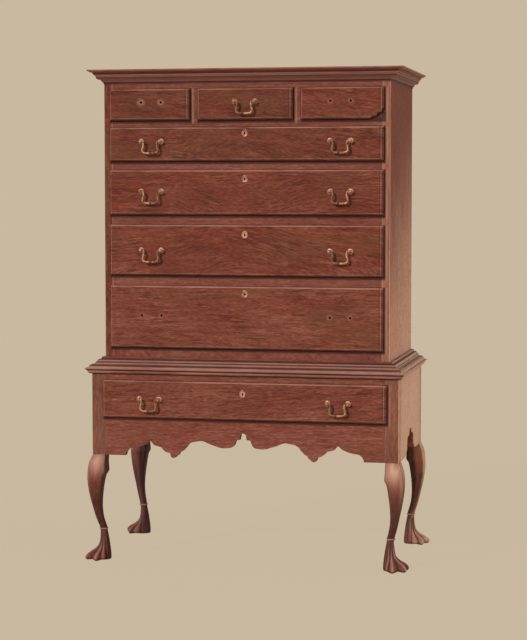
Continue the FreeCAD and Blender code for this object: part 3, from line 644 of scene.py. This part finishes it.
# Cabriole legs. Heights are shares of the leg's length below the post or of the foot's height;
# widths are shares of the post's width, from its outer corner.
legLook = {
    "columns": 180, "post": 0.046, "length": 0.36, "footHeight": 0.104,
    "steps": (60, 10, 56),     # rows of points down the shin, round the ring and down the foot
    # share of the way down from the post: how far the outer faces swell past the post, how far the
    # inner faces stand from the post's outer faces, and how square the section is
    "stations": [(0.0, 0.0, 1.0, 14.0), (0.05, 0.125, 1.0, 12.0), (0.12, 0.262, 1.0, 10.0),
                 (0.22, 0.33, 1.03, 10.0), (0.238, 0.336, 1.01, 10.0),
                 (0.285, 0.348, 0.87, 9.0), (0.36, 0.345, 0.79, 7.0),
                 (0.485, 0.27, 0.7, 6.0), (0.61, 0.15, 0.645, 5.0), (0.735, 0.0, 0.64, 4.0),
                 (0.86, -0.155, 0.72, 3.0), (1.0, -0.38, 0.92, 2.0)],
    "arris": 14.0,             # how wide the rubbed corner is, in degrees
    # where the knee has its pale patch, a painted highlight: how far down and how tall, how far
    # round and how wide
    "knee": (0.1, 0.15, 45.0, 42.0),
    "shinShade": (0.68, 0.26, 0.36),         # painted shade down the shin: how dark it gets, from where and within how far
    "innerShade": (0.9, 0.95),
    "axis": 0.65, "ankle": 0.0116, "ring": 0.0034,
    # height in the foot: the heel's reach, then the toes' reach, as shares of their full reach
    "foot": [(0.0, 0.95, 0.93), (0.03, 1.0, 0.985), (0.09, 1.01, 1.0), (0.15, 1.0, 0.96),
             (0.23, 0.98, 0.8), (0.34, 0.93, 0.48), (0.47, 0.86, 0.27), (0.66, 0.74, 0.185),
             (0.84, 0.6, 0.168), (1.0, 0.47, 0.178)],
    "heel": 0.025, "toes": [(-45.0, 0.0575), (0.0, 0.0645), (45.0, 0.0575)],
    "front": (52.0, 92.0),     # where the toes' side ends and where the heel begins, in degrees
    "web": 0.12,               # how far the foot draws in between two toes
    "rib": 0.0022, "ribWidth": 0.0048,       # the raised spine down each toe, and one on each side
    "ribs": (-72.0, -45.0, 0.0, 45.0, 72.0),
    "groove": 0.0036, "grooveWidth": 0.004, "grooves": (-88.0, -59.0, -22.5, 22.5, 59.0, 88.0),
    "lift": 0.0055, "liftHeight": 0.014,      # how far the sole rises between the toes
}


# The section's reach from its own middle at an angle from the outer corner, in degrees.
def shinReach(half, squareness, angle):
    turn = math.radians(angle + 45)
    across = abs(math.cos(turn)) ** squareness + abs(math.sin(turn)) ** squareness
    return half / across ** (1 / squareness)


def footReach(heel, toe, angle):
    start, end = legLook["front"]
    share = clamp((end - abs(angle)) / (end - start))
    share = share * share * (3 - 2 * share)
    corner, middle = legLook["toes"][0][1], legLook["toes"][1][1]
    reach = toe * (corner + (middle - corner) * bump(angle, 40.0))
    between = bump(abs(angle) - 22.5, 17.0) * clamp((toe - 0.3) / 0.4)
    reach *= 1 - legLook["web"] * between
    heelReach = heel * legLook["heel"]
    return heelReach + (reach - heelReach) * share


# How dark the inner faces are: the one that faces along x, and the one that faces along y.
def innerShade(angle):
    alongX, alongY = legLook["innerShade"]
    if angle > 0:
        return alongX * clamp((angle - 88) / 7)
    return alongY * clamp((-angle - 125) / 25)


def legForm(name, corner, hand, depth, footTurn=0.0):
    look = legLook
    form = Form(name)
    post, length, footHeight = look["post"], look["length"], look["footHeight"]
    angles = [360.0 * step / look["columns"] - 180 for step in range(look["columns"])]

    def place(angle, reach, middle, z, worn, grime):
        turn = math.radians(angle + 225)
        x = middle + reach * math.cos(turn)
        y = middle + reach * math.sin(turn)
        return form.add((corner.x + hand * x, corner.y + depth * y, z), worn, grime)

    rows = []
    shinSteps, ringSteps, footSteps = look["steps"]
    kneeDown, kneeTall, kneeRound, kneeWide = look["knee"]
    darkest, shadeFrom, shadeWithin = look["shinShade"]
    for step in range(shinSteps + 1):
        down = step / shinSteps
        swell, inner, squareness = smoothly(look["stations"], down)
        half = (inner + swell) / 2 * post
        middle = (inner - swell) / 2 * post
        z = length - down * (length - footHeight - look["ring"])
        row = []
        for angle in angles:
            # the outer corner is worn; the knee's pale patch is a painted highlight; the lower
            # shin and the inner faces get painted shade
            arris = bump(angle, look["arris"]) * min(1.0, (squareness - 2) / 4)
            knee = bump(down - kneeDown, kneeTall) * bump(abs(angle) - kneeRound, kneeWide)
            shade = max(darkest * clamp((down - shadeFrom) / shadeWithin), innerShade(angle))
            row.append(place(angle, shinReach(half, squareness, angle), middle, z,
                             max(0.6 * arris * (1 - down), knee), shade))
        rows.append(row)
    # the ring gets a painted highlight on its swell and painted shade where it meets the shin and
    # the foot
    for step in range(1, ringSteps):
        turn = math.pi * step / ringSteps
        reach = look["ankle"] + look["ring"] * math.sin(turn) * 0.95
        z = footHeight + look["ring"] * math.cos(turn)
        rows.append([place(angle, reach, look["axis"] * post, z, 0.5 * math.sin(turn),
                           0.9 * (1 - math.sin(turn))) for angle in angles])
    top = footHeight - look["ring"]
    for step in range(footSteps + 1):
        share = 1 - step / footSteps
        z = top * share ** 1.5
        height = z / footHeight
        heel, toe = smoothly(look["foot"], height)
        row = []
        for angle in angles:
            fromToe = (angle + footTurn + 180) % 360 - 180
            reach = footReach(heel, toe, fromToe)
            carved = min(1.0, (0.97 - height) / 0.12) * min(1.0, (height + 0.02) / 0.08)
            degree = math.degrees(1 / reach)
            nearToe = max(bump(fromToe - rib, look["ribWidth"] * degree) for rib in look["ribs"])
            nearGroove = max(bump(fromToe - groove, look["grooveWidth"] * degree)
                             for groove in look["grooves"])
            reach += carved * (look["rib"] * nearToe - look["groove"] * nearGroove)
            between = 1 - max(max(bump(fromToe - toeAngle, 15.0) for toeAngle, _ in look["toes"]),
                              clamp((abs(fromToe) - 60) / 25))
            lift = look["lift"] * between * max(0.0, 1 - z / look["liftHeight"])
            under = max(0.0, 1 - z / 0.01)
            # painted shade in the grooves, under the sole and on the inner faces, a darkening that
            # grows towards the ankle, and painted highlights along the ribs
            grime = min(1.0, nearGroove * carved * 0.9 + under * 0.95)
            grime = max(grime, innerShade(angle) * 0.9, 0.2 + 0.22 * height)
            worn = nearToe * carved * (1 - under) * (0.8 - 0.55 * height)
            row.append(place(angle, reach, look["axis"] * post, z + lift, worn, grime))
        rows.append(row)
    form.skin(rows)
    for row, z, axis in ((rows[0], length, 0.5), (rows[-1], 0.0, look["axis"])):
        middle = form.add((corner.x + hand * axis * post, corner.y + depth * axis * post, z), 0, 1)
        form.fan(row, middle)
    return form


# A block with eased edges.
def addBlock(form, low, high, ease):
    rings = []
    corners = ((high.x, high.y, -1, -1), (low.x, high.y, 1, -1), (low.x, low.y, 1, 1),
               (high.x, low.y, -1, 1))
    for z, reach in ((low.z, 0.2 * ease), (low.z + ease, ease), (high.z - ease, ease),
                     (high.z, 0.2 * ease)):
        ring = []
        for quarter, (x, y, inX, inY) in enumerate(corners):
            for step in range(4):
                angle = math.radians(90 * quarter + 30 * step)
                ring.append(form.add((x + inX * ease + reach * math.cos(angle),
                                      y + inY * ease + reach * math.sin(angle), z),
                                     0.6 if 0 < step < 3 else 0.15))
        rings.append(ring)
    form.skin(rings)
    form.cap(rings)


# An outline's points with its bowed edges drawn as arcs: (across, up) or (across, up, bow), where
# bow is how far the edge that leads to the point swells to the left of its straight line.
def rounded(points, steps=7, finest=0.0015):
    line = []
    for start, end in zip([points[-1]] + points[:-1], points):
        a, b = Vector(start[:2]), Vector(end[:2])
        bow = end[2] if len(end) > 2 else 0
        if bow:
            left = Vector((a.y - b.y, b.x - a.x)).normalized()
            radius = ((b - a).length_squared / 4 + bow * bow) / (2 * abs(bow))
            half = math.asin(min(1.0, (b - a).length / 2 / radius))
            side = 1 if bow > 0 else -1
            centre = (a + b) / 2 + left * (bow - side * radius)
            for step in range(1, steps):
                turn = half * (2 * step / steps - 1)
                along = (b - a).normalized()
                line.append(centre + along * radius * math.sin(turn)
                            + left * side * radius * math.cos(turn))
        else:
            pieces = max(1, round((b - a).length / finest))
            line += [a.lerp(b, step / pieces) for step in range(1, pieces)]
        line.append(b)
    return line


# A moulding mitred round the front and both sides of a case. The profile is a closed outline of
# (out from the case, height); lit and dark are bands of height with a painted highlight and with
# painted shade.
def mouldingForm(name, profile, half, face, back, lit, dark):
    form = Form(name)
    rows = []
    for out, up in rounded(profile):
        worn, grime = [max(bump(up - height, wide) * amount for height, wide, amount in bands)
                       for bands in (lit, dark)]
        rows.append([form.add((x, y, up), worn, grime)
                     for x, y in ((-half - out, back), (-half - out, face - out),
                                  (half + out, face - out), (half + out, back))])
    rows.append(rows[0])
    form.skin(rows, closed=False)
    form.faces.append([row[0] for row in rows[:-1]])
    form.faces.append([row[3] for row in rows[:-1]])
    return form


# Profiles, up from the base or down where way is -1. Shares: points as shares of how far the
# moulding reaches and of its height: out, up, and the bow of the edge to the point. Inner: points
# in metres. Lit and dark: bands of painted highlight and painted shade along the members, as
# height from the base, width and amount.
cornice = {
    "reach": 0.047, "height": 0.046, "way": -1, "inner": [],
    "shares": [(0, 0), (0, 1), (0.04, 1), (0.06, 0.87), (0.13, 0.87), (0.19, 0.8, 0.03),
               (0.17, 0.71), (0.22, 0.69), (0.5, 0.47, -0.09), (0.5, 0.42), (0.6, 0.41),
               (0.68, 0.27, 0.03), (0.68, 0.2), (0.86, 0.17), (0.94, 0.1, 0.02), (1, 0.1),
               (1, 0)],
    "lit": [(0.007, 0.003, 0.3), (0.0203, 0.0036, 0.75), (0.0335, 0.0058, 0.85)],
    "dark": [(0.014, 0.003, 0.6), (0.0264, 0.0034, 0.95), (0.0428, 0.0044, 1.0)],
}
waist = {
    "reach": 0.057, "height": 0.0388, "way": 1,
    "inner": [(0.001, 0.0388), (0.001, 0.0), (0.0375, 0.0), (0.0375, -0.0152), (0.0405, -0.0152)],
    "shares": [(0.88, -0.11, -0.08), (0.965, 0.02, -0.026), (1, 0.02), (1, 0.1),
               (0.82, 0.2, 0.04), (0.61, 0.43, -0.05), (0.49, 0.43), (0.49, 0.59), (0.44, 0.59),
               (0.24, 0.82, -0.08), (0.19, 0.82), (0.19, 1)],
    "lit": [(0.0275, 0.0018, 0.6), (0.018, 0.0022, 0.75), (0.0052, 0.004, 0.55),
            (-0.0064, 0.0022, 0.4)],
    "dark": [(0.0325, 0.0042, 0.85), (0.0228, 0.0028, 0.7), (0.0128, 0.0034, 0.95),
             (-0.0018, 0.003, 1.0), (-0.015, 0.0036, 1.0)],
}


def addMoulding(name, look, base, body, material):
    low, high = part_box("upper_side_right")
    way, tall = look["way"], look["height"]
    profile = [(out, base + up * way) for out, up in look["inner"]]
    profile += [(out * look["reach"], base + up * tall * way, *[bow * tall for bow in rest])
                for out, up, *rest in look["shares"]]
    bands = [[(base + up * way, wide, amount) for up, wide, amount in look[kind]]
             for kind in ("lit", "dark")]
    addPiece(mouldingForm(name, profile, high.x, low.y, high.y, *bands), body,
             material, [f"{name}_{side}" for side in ("front", "left", "right")])


def around(columns):
    return [2 * math.pi * column / columns for column in range(columns)]


# Turned about a line that points out of a drawer front: (out, radius) stations.
def turnedForm(name, places, stations, columns=28):
    form = Form(name)
    for middle in places:
        rows = [[form.add((middle.x + radius * math.cos(turn), middle.y - out,
                           middle.z + radius * math.sin(turn))) for turn in around(columns)]
                for out, radius in stations]
        form.skin(rows)
        form.cap(rows)
    return form


brassForms = {
    "spacing": 0.068, "drop": 0.0395, "arm": 0.0034, "head": 0.0062, "headGap": 0.0004,
    "pivot": 0.014, "rest": 0.0033,          # from the drawer front, and above the bail's lowest
    "shank": 0.003, "shankEnd": 0.006, "nut": (0.011, 0.004, 0.011), "nutEase": 0.0006,
    # out from the drawer front, radius
    "post": [(0.0, 0.0096), (0.0008, 0.0098), (0.0016, 0.009), (0.002, 0.0068),
             (0.0026, 0.006), (0.003, 0.0042), (0.004, 0.0035), (0.0066, 0.0034),
             (0.008, 0.0042), (0.0096, 0.0056), (0.0118, 0.0062), (0.015, 0.0061),
             (0.0176, 0.005), (0.019, 0.004), (0.0196, 0.0024), (0.0204, 0.0018)],
    # the bail's right half, as shares of the drop: in from the shoulder (in metres), up, radius
    # as a share of the arm's, and how far the path leans inwards from straight down
    "bail": [(-0.0046, 0.0, 0.55, 90), (0.0, 0.0, 0.62, 90), (0.0014, -0.02, 0.9, 72),
             (0.003, -0.09, 1.0, 40), (0.0044, -0.26, 1.0, 0), (0.003, -0.46, 1.0, -24),
             (0.0006, -0.66, 1.0, -4), (0.0014, -0.82, 1.0, 28), (0.005, -0.93, 1.05, 62),
             (0.0125, -0.985, 1.12, 86), (0.0274, -1.0, 1.15, 90)],
}


def bailForm(name, middle, columns=14, between=5):
    look = brassForms
    shoulder = look["spacing"] / 2 - look["head"] - look["headGap"]
    table = [(number, *row) for number, row in enumerate(look["bail"])]
    half = [smoothly(table, step / between) for step in range((len(table) - 1) * between + 1)]
    form = Form(name)
    rows = []
    for side, stations in ((1, half), (-1, half[-2::-1])):
        for inwards, up, thick, lean in stations:
            turn = math.radians(lean)
            outward = Vector((side * math.cos(turn), 0, -math.sin(turn)))
            centre = middle + Vector((side * (shoulder - inwards), 0, up * look["drop"]))
            radius = thick * look["arm"]
            rows.append([form.add(centre + outward * (radius * math.cos(angle))
                                  + Vector((0, side * radius * math.sin(angle), 0)))
                         for angle in around(columns)])
    form.skin(rows)
    form.cap(rows)
    return form


# An oval plate with a raised rim and a keyhole, its middle at a place on the drawer front.
plateLook = {"width": 0.01, "height": 0.0125, "thick": 0.0016, "hole": 0.0026, "slot": 0.007,
             "columns": 48}


def plateForm(name, middle):
    look = plateLook
    form = Form(name)
    rows = []
    # share of the way from the edge to the keyhole, and height as a share of the thickness
    for inwards, raised in ((0.0, 0.0), (0.0, 0.7), (0.05, 0.95), (0.14, 1.0), (0.22, 0.8),
                            (0.32, 0.55), (0.7, 0.62), (0.9, 0.7), (1.0, 0.6), (1.0, 0.0)):
        row = []
        for turn in around(look["columns"]):
            across, up = math.cos(turn), math.sin(turn)
            edge = Vector((look["width"] * across, look["height"] * up))
            hole = Vector((look["hole"] * across, look["hole"] * up))
            if up < 0:
                hole.x *= 0.5 + 0.5 * abs(across)
                hole.y *= 1 + (look["slot"] / look["hole"] - 1) * abs(up) ** 3
            spot = edge.lerp(hole, inwards)
            # the keyhole's rim gets painted shade
            row.append(form.add((middle.x + spot.x, middle.y - raised * look["thick"],
                                 middle.z + spot.y), 0, 1.0 if inwards > 0.95 else 0.0))
        rows.append(row)
    form.skin(rows)
    return form


drawerNames = [f"small_drawer_{side}" for side in ("left", "centre", "right")]
drawerNames += [f"long_drawer_{number}" for number in range(1, 5)] + ["lower_drawer"]
seamBoxes = [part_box(name + "_front") for name in drawerNames]
upperSeams, lowerSeams = seamBoxes[:7], seamBoxes[7:]

# What is drawn on a drawer front: bare post holes, dark inside as painted shade, with a rubbed
# patch round them, painted shade in a keyhole, and a broken corner. Places are (across from the
# middle, down from the top), in metres.
markLook = {
    # each pair is how far from its middle a mark starts and is full
    "hole": tone(38, 17, 15), "holeEdge": (0.00468, 0.0036), "keyEdge": (0.0045, 0.0035),
    "keyDown": 0.002, "keySquash": 0.5,
    "halo": tone(172, 122, 98), "haloEdge": (0.01265, 0.0), "haloShare": 0.55, "ragged": 0.034,
    # from the right edge, from the lower edge, and in from the face
    "broken": tone(60, 43, 39), "brokenWide": (-0.054, -0.0486), "brokenTall": (0.04, 0.036),
    "brokenDeep": (0.001625, 0.0065),
}
bareHoles = {
    "small_drawer_left": [(0.0, 0.0445)], "small_drawer_right": [(0.0, 0.0445)],
    "long_drawer_4": [(-0.32, 0.099), (0.32, 0.099)],
}
keyDrops = {"long_drawer_1": 0.0195, "long_drawer_2": 0.029, "long_drawer_3": 0.0315,
            "long_drawer_4": 0.024, "lower_drawer": 0.0365}
pullOffset = 0.32


def frontMarks(name):
    look = markLook
    low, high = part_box(name + "_front")
    middle = (low.x + high.x) / 2
    if name.startswith("small"):
        middle = {"left": -pullOffset, "centre": 0.0, "right": pullOffset}[name.split("_")[-1]]

    def marks(shader, axes, colour, grain):
        def away(x, z, squash=1.0):
            offX, offZ = axes["x"] - x, (axes["z"] - z) * squash
            return (offX * offX + offZ * offZ) ** 0.5

        for across, drop in bareHoles.get(name, ()):
            for side in (-1, 1):
                post = middle + across + side * brassForms["spacing"] / 2
                spot = away(post, high.z - drop)
                halo = (spot + grain.swing(look["ragged"])).rise(*look["haloEdge"])
                colour = shader.blend(halo * look["haloShare"], colour, look["halo"])
                # painted shade inside the hole
                colour = shader.blend(spot.rise(*look["holeEdge"]), colour, look["hole"])
        if name in keyDrops:
            # painted shade inside the keyhole
            spot = away(0.0, high.z - keyDrops[name] - look["keyDown"], look["keySquash"])
            colour = shader.blend(spot.rise(*look["keyEdge"]), colour, look["hole"])
        if name == "small_drawer_right":
            corner = (axes["x"] - high.x).rise(*look["brokenWide"])
            corner = corner * (axes["z"] - low.z).rise(*look["brokenTall"])
            corner = corner * (axes["y"] - low.y).rise(*look["brokenDeep"])
            colour = shader.blend(corner * (grain.swing(0.9) + 0.75), colour, look["broken"])
        return colour

    return marks


# What sets each board apart (see wood above), and along where it isn't "xzy".
boards = {
    "small_drawer_left_front": {
        "heart": (0.05, -0.25, 0.12, 0.25), "light": -0.1, "warm": 0.05, "strokes": 0.35},
    "small_drawer_centre_front": {
        "heart": (-0.1, 0.3, 0.1, -0.22), "light": -0.09, "warm": 0.15, "strokes": 0.45},
    "small_drawer_right_front": {
        "heart": (0.0, -0.4, 0.2, 0.3), "light": -0.02, "strokes": 0.7},
    "long_drawer_1_front": {
        "heart": (-0.1, -0.2, 0.1, 0.2), "light": -0.06, "warm": 0.2, "strokes": 0.8,
        "figures": [(-0.09, 0.0, 0.12, 0.045, 0.62), (0.16, 0.01, 0.16, 0.05, -0.25)]},
    "long_drawer_2_front": {
        "heart": (-0.05, -0.16, 0.02, 0.1), "warm": 0.5, "sway": 0.018, "strokes": 0.8,
        "figures": [(-0.16, -0.02, 0.13, 0.05, -0.4), (0.14, 0.0, 0.2, 0.06, 0.3)]},
    "long_drawer_3_front": {
        "heart": (-0.02, -0.12, 0.03, 0.2), "light": 0.01, "warm": 0.45, "sway": 0.018,
        "strokes": 0.9,
        "figures": [(-0.2, -0.02, 0.16, 0.07, 0.42), (0.06, 0.02, 0.16, 0.06, -0.3)]},
    "long_drawer_4_front": {
        "heart": (0.2, -0.5, 0.3, 0.05), "light": 0.02, "warm": 0.15, "strokes": 0.75},
    "lower_drawer_front": {"heart": (0.1, 0.4, 0.2, 0.1), "warm": 0.1, "strokes": 0.8},
    "drawer_rails": {"light": 0.06, "pink": 0.2},
    "small_drawer_dividers": {"along": "zxy", "warm": 0.3, "pink": 0.2},
    "front_apron": {"heart": (0.0, 0.35, 0.2, 0.05), "light": 0.08, "warm": 0.35, "pink": 0.1,
                    "sawn": 0.85, "joint": 0.6},
    "lower_top_rail": {"light": 0.06, "warm": 0.3, "pink": 0.15, "joint": 0.6},
    # The right side boards are lighter than the left ones, as painted light on that side; all
    # sides grow paler lower down, as fading and as painted light.
    "lower_side_left": {"along": "zyx", "fade": (-1, 1.1, -0.3), "light": 0.08, "ink": 0.45},
    "lower_side_right": {"along": "zyx", "fade": (1, 1.45, 0.6), "light": 0.18, "warm": 0.4,
                         "strokes": 0.9, "ink": 0.35},
    "upper_side_left": {"along": "zyx", "fade": (-1, 1.1, -0.3), "light": -0.06, "wearAndHighlight": 0.2,
                        "ink": 0.45},
    "upper_side_right": {"along": "zyx", "fade": (1, 1.47, 0.6), "light": 0.06, "warm": 1.0,
                         "stile": 0.3, "pink": 0.1, "strokes": 0.9, "ink": 0.4},
}
for node, board in boards.items():
    seams, marks = (), None
    if "_side_" in node:
        board["dash"] = (8.0, 260.0)
    if node.endswith("_front"):
        board["lip"] = True
        marks = frontMarks(node[:-len("_front")])
    elif node in ("front_apron", "lower_top_rail"):
        seams = lowerSeams
    elif not node.startswith("lower_side"):
        seams = upperSeams
    along = board.get("along", "xzy")
    dress(node, wood(node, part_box(node), along, board, seams, marks))

pineGrain = {"lower_back": "xzy", "lower_case_top": "xyz", "upper_back": "zxy", "upper_top": "xyz",
             "upper_bottom": "xyz", "lower_drawer_runners": "yxz", "upper_drawer_runners": "yxz",
             "small_drawer_guides": "yxz"}
pineBoards = {"lower_case_top": 3, "upper_back": 5, "upper_top": 2, "upper_bottom": 2}
pineGrain.update({name + "_box": "yzx" for name in drawerNames})
for node, along in pineGrain.items():
    dress(node, pine(node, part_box(node), along, pineBoards.get(node, 1)))
brassFinish = brass("old_brass")
postFinish = brass("rubbed_brass", 0.4, tone(202, 152, 130))
plateFinish = brass("dull_plate", 0.3, tone(204, 148, 130))
print("finishes made")

# Legs and posts.
# The rear right leg is lighter, with its faces towards the right paler, as painted light, and the
# rear left leg darker, as painted shade; the front legs' rubbed colours are those of their painted
# highlights and wear.
legBoards = {
    ("front", "left"): {"warm": 0.3, "rubbedAndLit": tone(192, 146, 128)},
    ("front", "right"): {"light": 0.05, "warm": 0.2, "pink": 0.15, "rubbedAndLit": tone(206, 160, 138)},
    ("rear", "left"): {"light": -0.2, "warm": 0.0, "pink": 0.5},
    ("rear", "right"): {"light": 0.44, "warm": 0.1, "rightLit": 0.9, "pale": tone(232, 190, 160)},
}
# how far each foot points more to its side, in degrees
footTurns = {"front": 14.0, "rear": 38.0}
postBoards = {"left": {"light": -0.08, "fade": (-1, 1.1, -0.3), "worked": True},
              "right": {"light": -0.01, "fade": (1, 1.5, 0.62), "worked": True}}
postEase = 0.0016
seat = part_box("lower_top_rail")[1].z
for hand, side in ((-1, "left"), (1, "right")):
    for depth, end in ((-1, "front"), (1, "rear")):
        node = f"leg_{end}_{side}"
        corner = Vector((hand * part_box("lower_side_right")[1].x,
                         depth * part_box("lower_back")[1].y, 0))
        board = {**legBoards[end, side], "worked": True}
        addPiece(legForm(node + "_turned", corner, -hand, -depth, footTurns[end]), "lower_case",
                 wood(node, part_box(node), "zxy", board), [node], sharp=50.0)
        near = corner - Vector((hand, depth, 0)) * legLook["post"]
        postLow = Vector((min(corner.x, near.x), min(corner.y, near.y), legLook["length"]))
        postHigh = Vector((max(corner.x, near.x), max(corner.y, near.y), seat))
        name = f"post_{end}_{side}"
        postWood = wood(name, (postLow, postHigh), "zxy", postBoards[side],
                        lowerSeams if end == "front" else ())
        post = Form(name)
        addBlock(post, postLow, postHigh, postEase)
        addPiece(post, "lower_case", postWood)

# The mouldings' faces that turn to the right are made paler and lose part of their painted shade
# and dirt, as painted light; the rubbed colour is that of their painted highlight bands and wear.
mouldingBoards = {
    "cornice": {"light": 0.14, "warm": 0.15, "pink": 0.5, "rightLit": 0.8, "worked": True,
                "rubbedAndLit": tone(184, 130, 118)},
    "waist_moulding": {"light": 0.15, "warm": 0.15, "pink": 0.3, "rightLit": 1.0, "worked": True,
                       "rightLessShade": 0.5, "pale": tone(244, 196, 170), "rubbedAndLit": tone(192, 150, 134)},
}
for name, look, base, body in (
        ("cornice", cornice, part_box("cornice_front")[1].z, "upper_case"),
        ("waist_moulding", waist, seat, "lower_case")):
    mouldingWood = wood(name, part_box("cornice_front"), "xzy", mouldingBoards[name])
    addMoulding(name, look, base, body, mouldingWood)

# Brasses: posts and escutcheon plates ride on their drawer, and each bail on its own body.
for drawer in drawerNames:
    low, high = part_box(drawer + "_front")
    field, inside = low.y, high.y
    replaced = [drawer + "_brasses"]
    places = []
    for node in sorted(nodes):
        if not node.startswith(drawer + "_bail"):
            continue
        bailLow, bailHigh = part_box(node)
        middle = Vector(((bailLow.x + bailHigh.x) / 2, field - brassForms["pivot"],
                         bailLow.z + brassForms["drop"] + brassForms["rest"]))
        addPiece(bailForm(node + "_bent", middle), node, brassFinish, [node])
        for side in (-1, 1):
            post = middle.x + side * brassForms["spacing"] / 2
            places.append(Vector((post, field, middle.z)))
    if places:
        addPiece(turnedForm(drawer + "_posts", places, brassForms["post"]), drawer,
                 postFinish, replaced)
        replaced = []
        shank = [(out, brassForms["shank"])
                 for out in (0.0, field - inside - brassForms["shankEnd"])]
        addPiece(turnedForm(drawer + "_shanks", places, shank, 12), drawer, brassFinish)
        nuts = Form(drawer + "_nuts")
        nut = Vector(brassForms["nut"])
        for place in places:
            nutLow = Vector((place.x - nut.x / 2, inside, place.z - nut.z / 2))
            addBlock(nuts, nutLow, nutLow + nut, brassForms["nutEase"])
        addPiece(nuts, drawer, brassFinish)
    if drawer in keyDrops:
        middle = Vector((0, field, high.z - keyDrops[drawer]))
        addPiece(plateForm(drawer + "_escutcheon", middle), drawer, plateFinish, replaced)
print("pieces made")
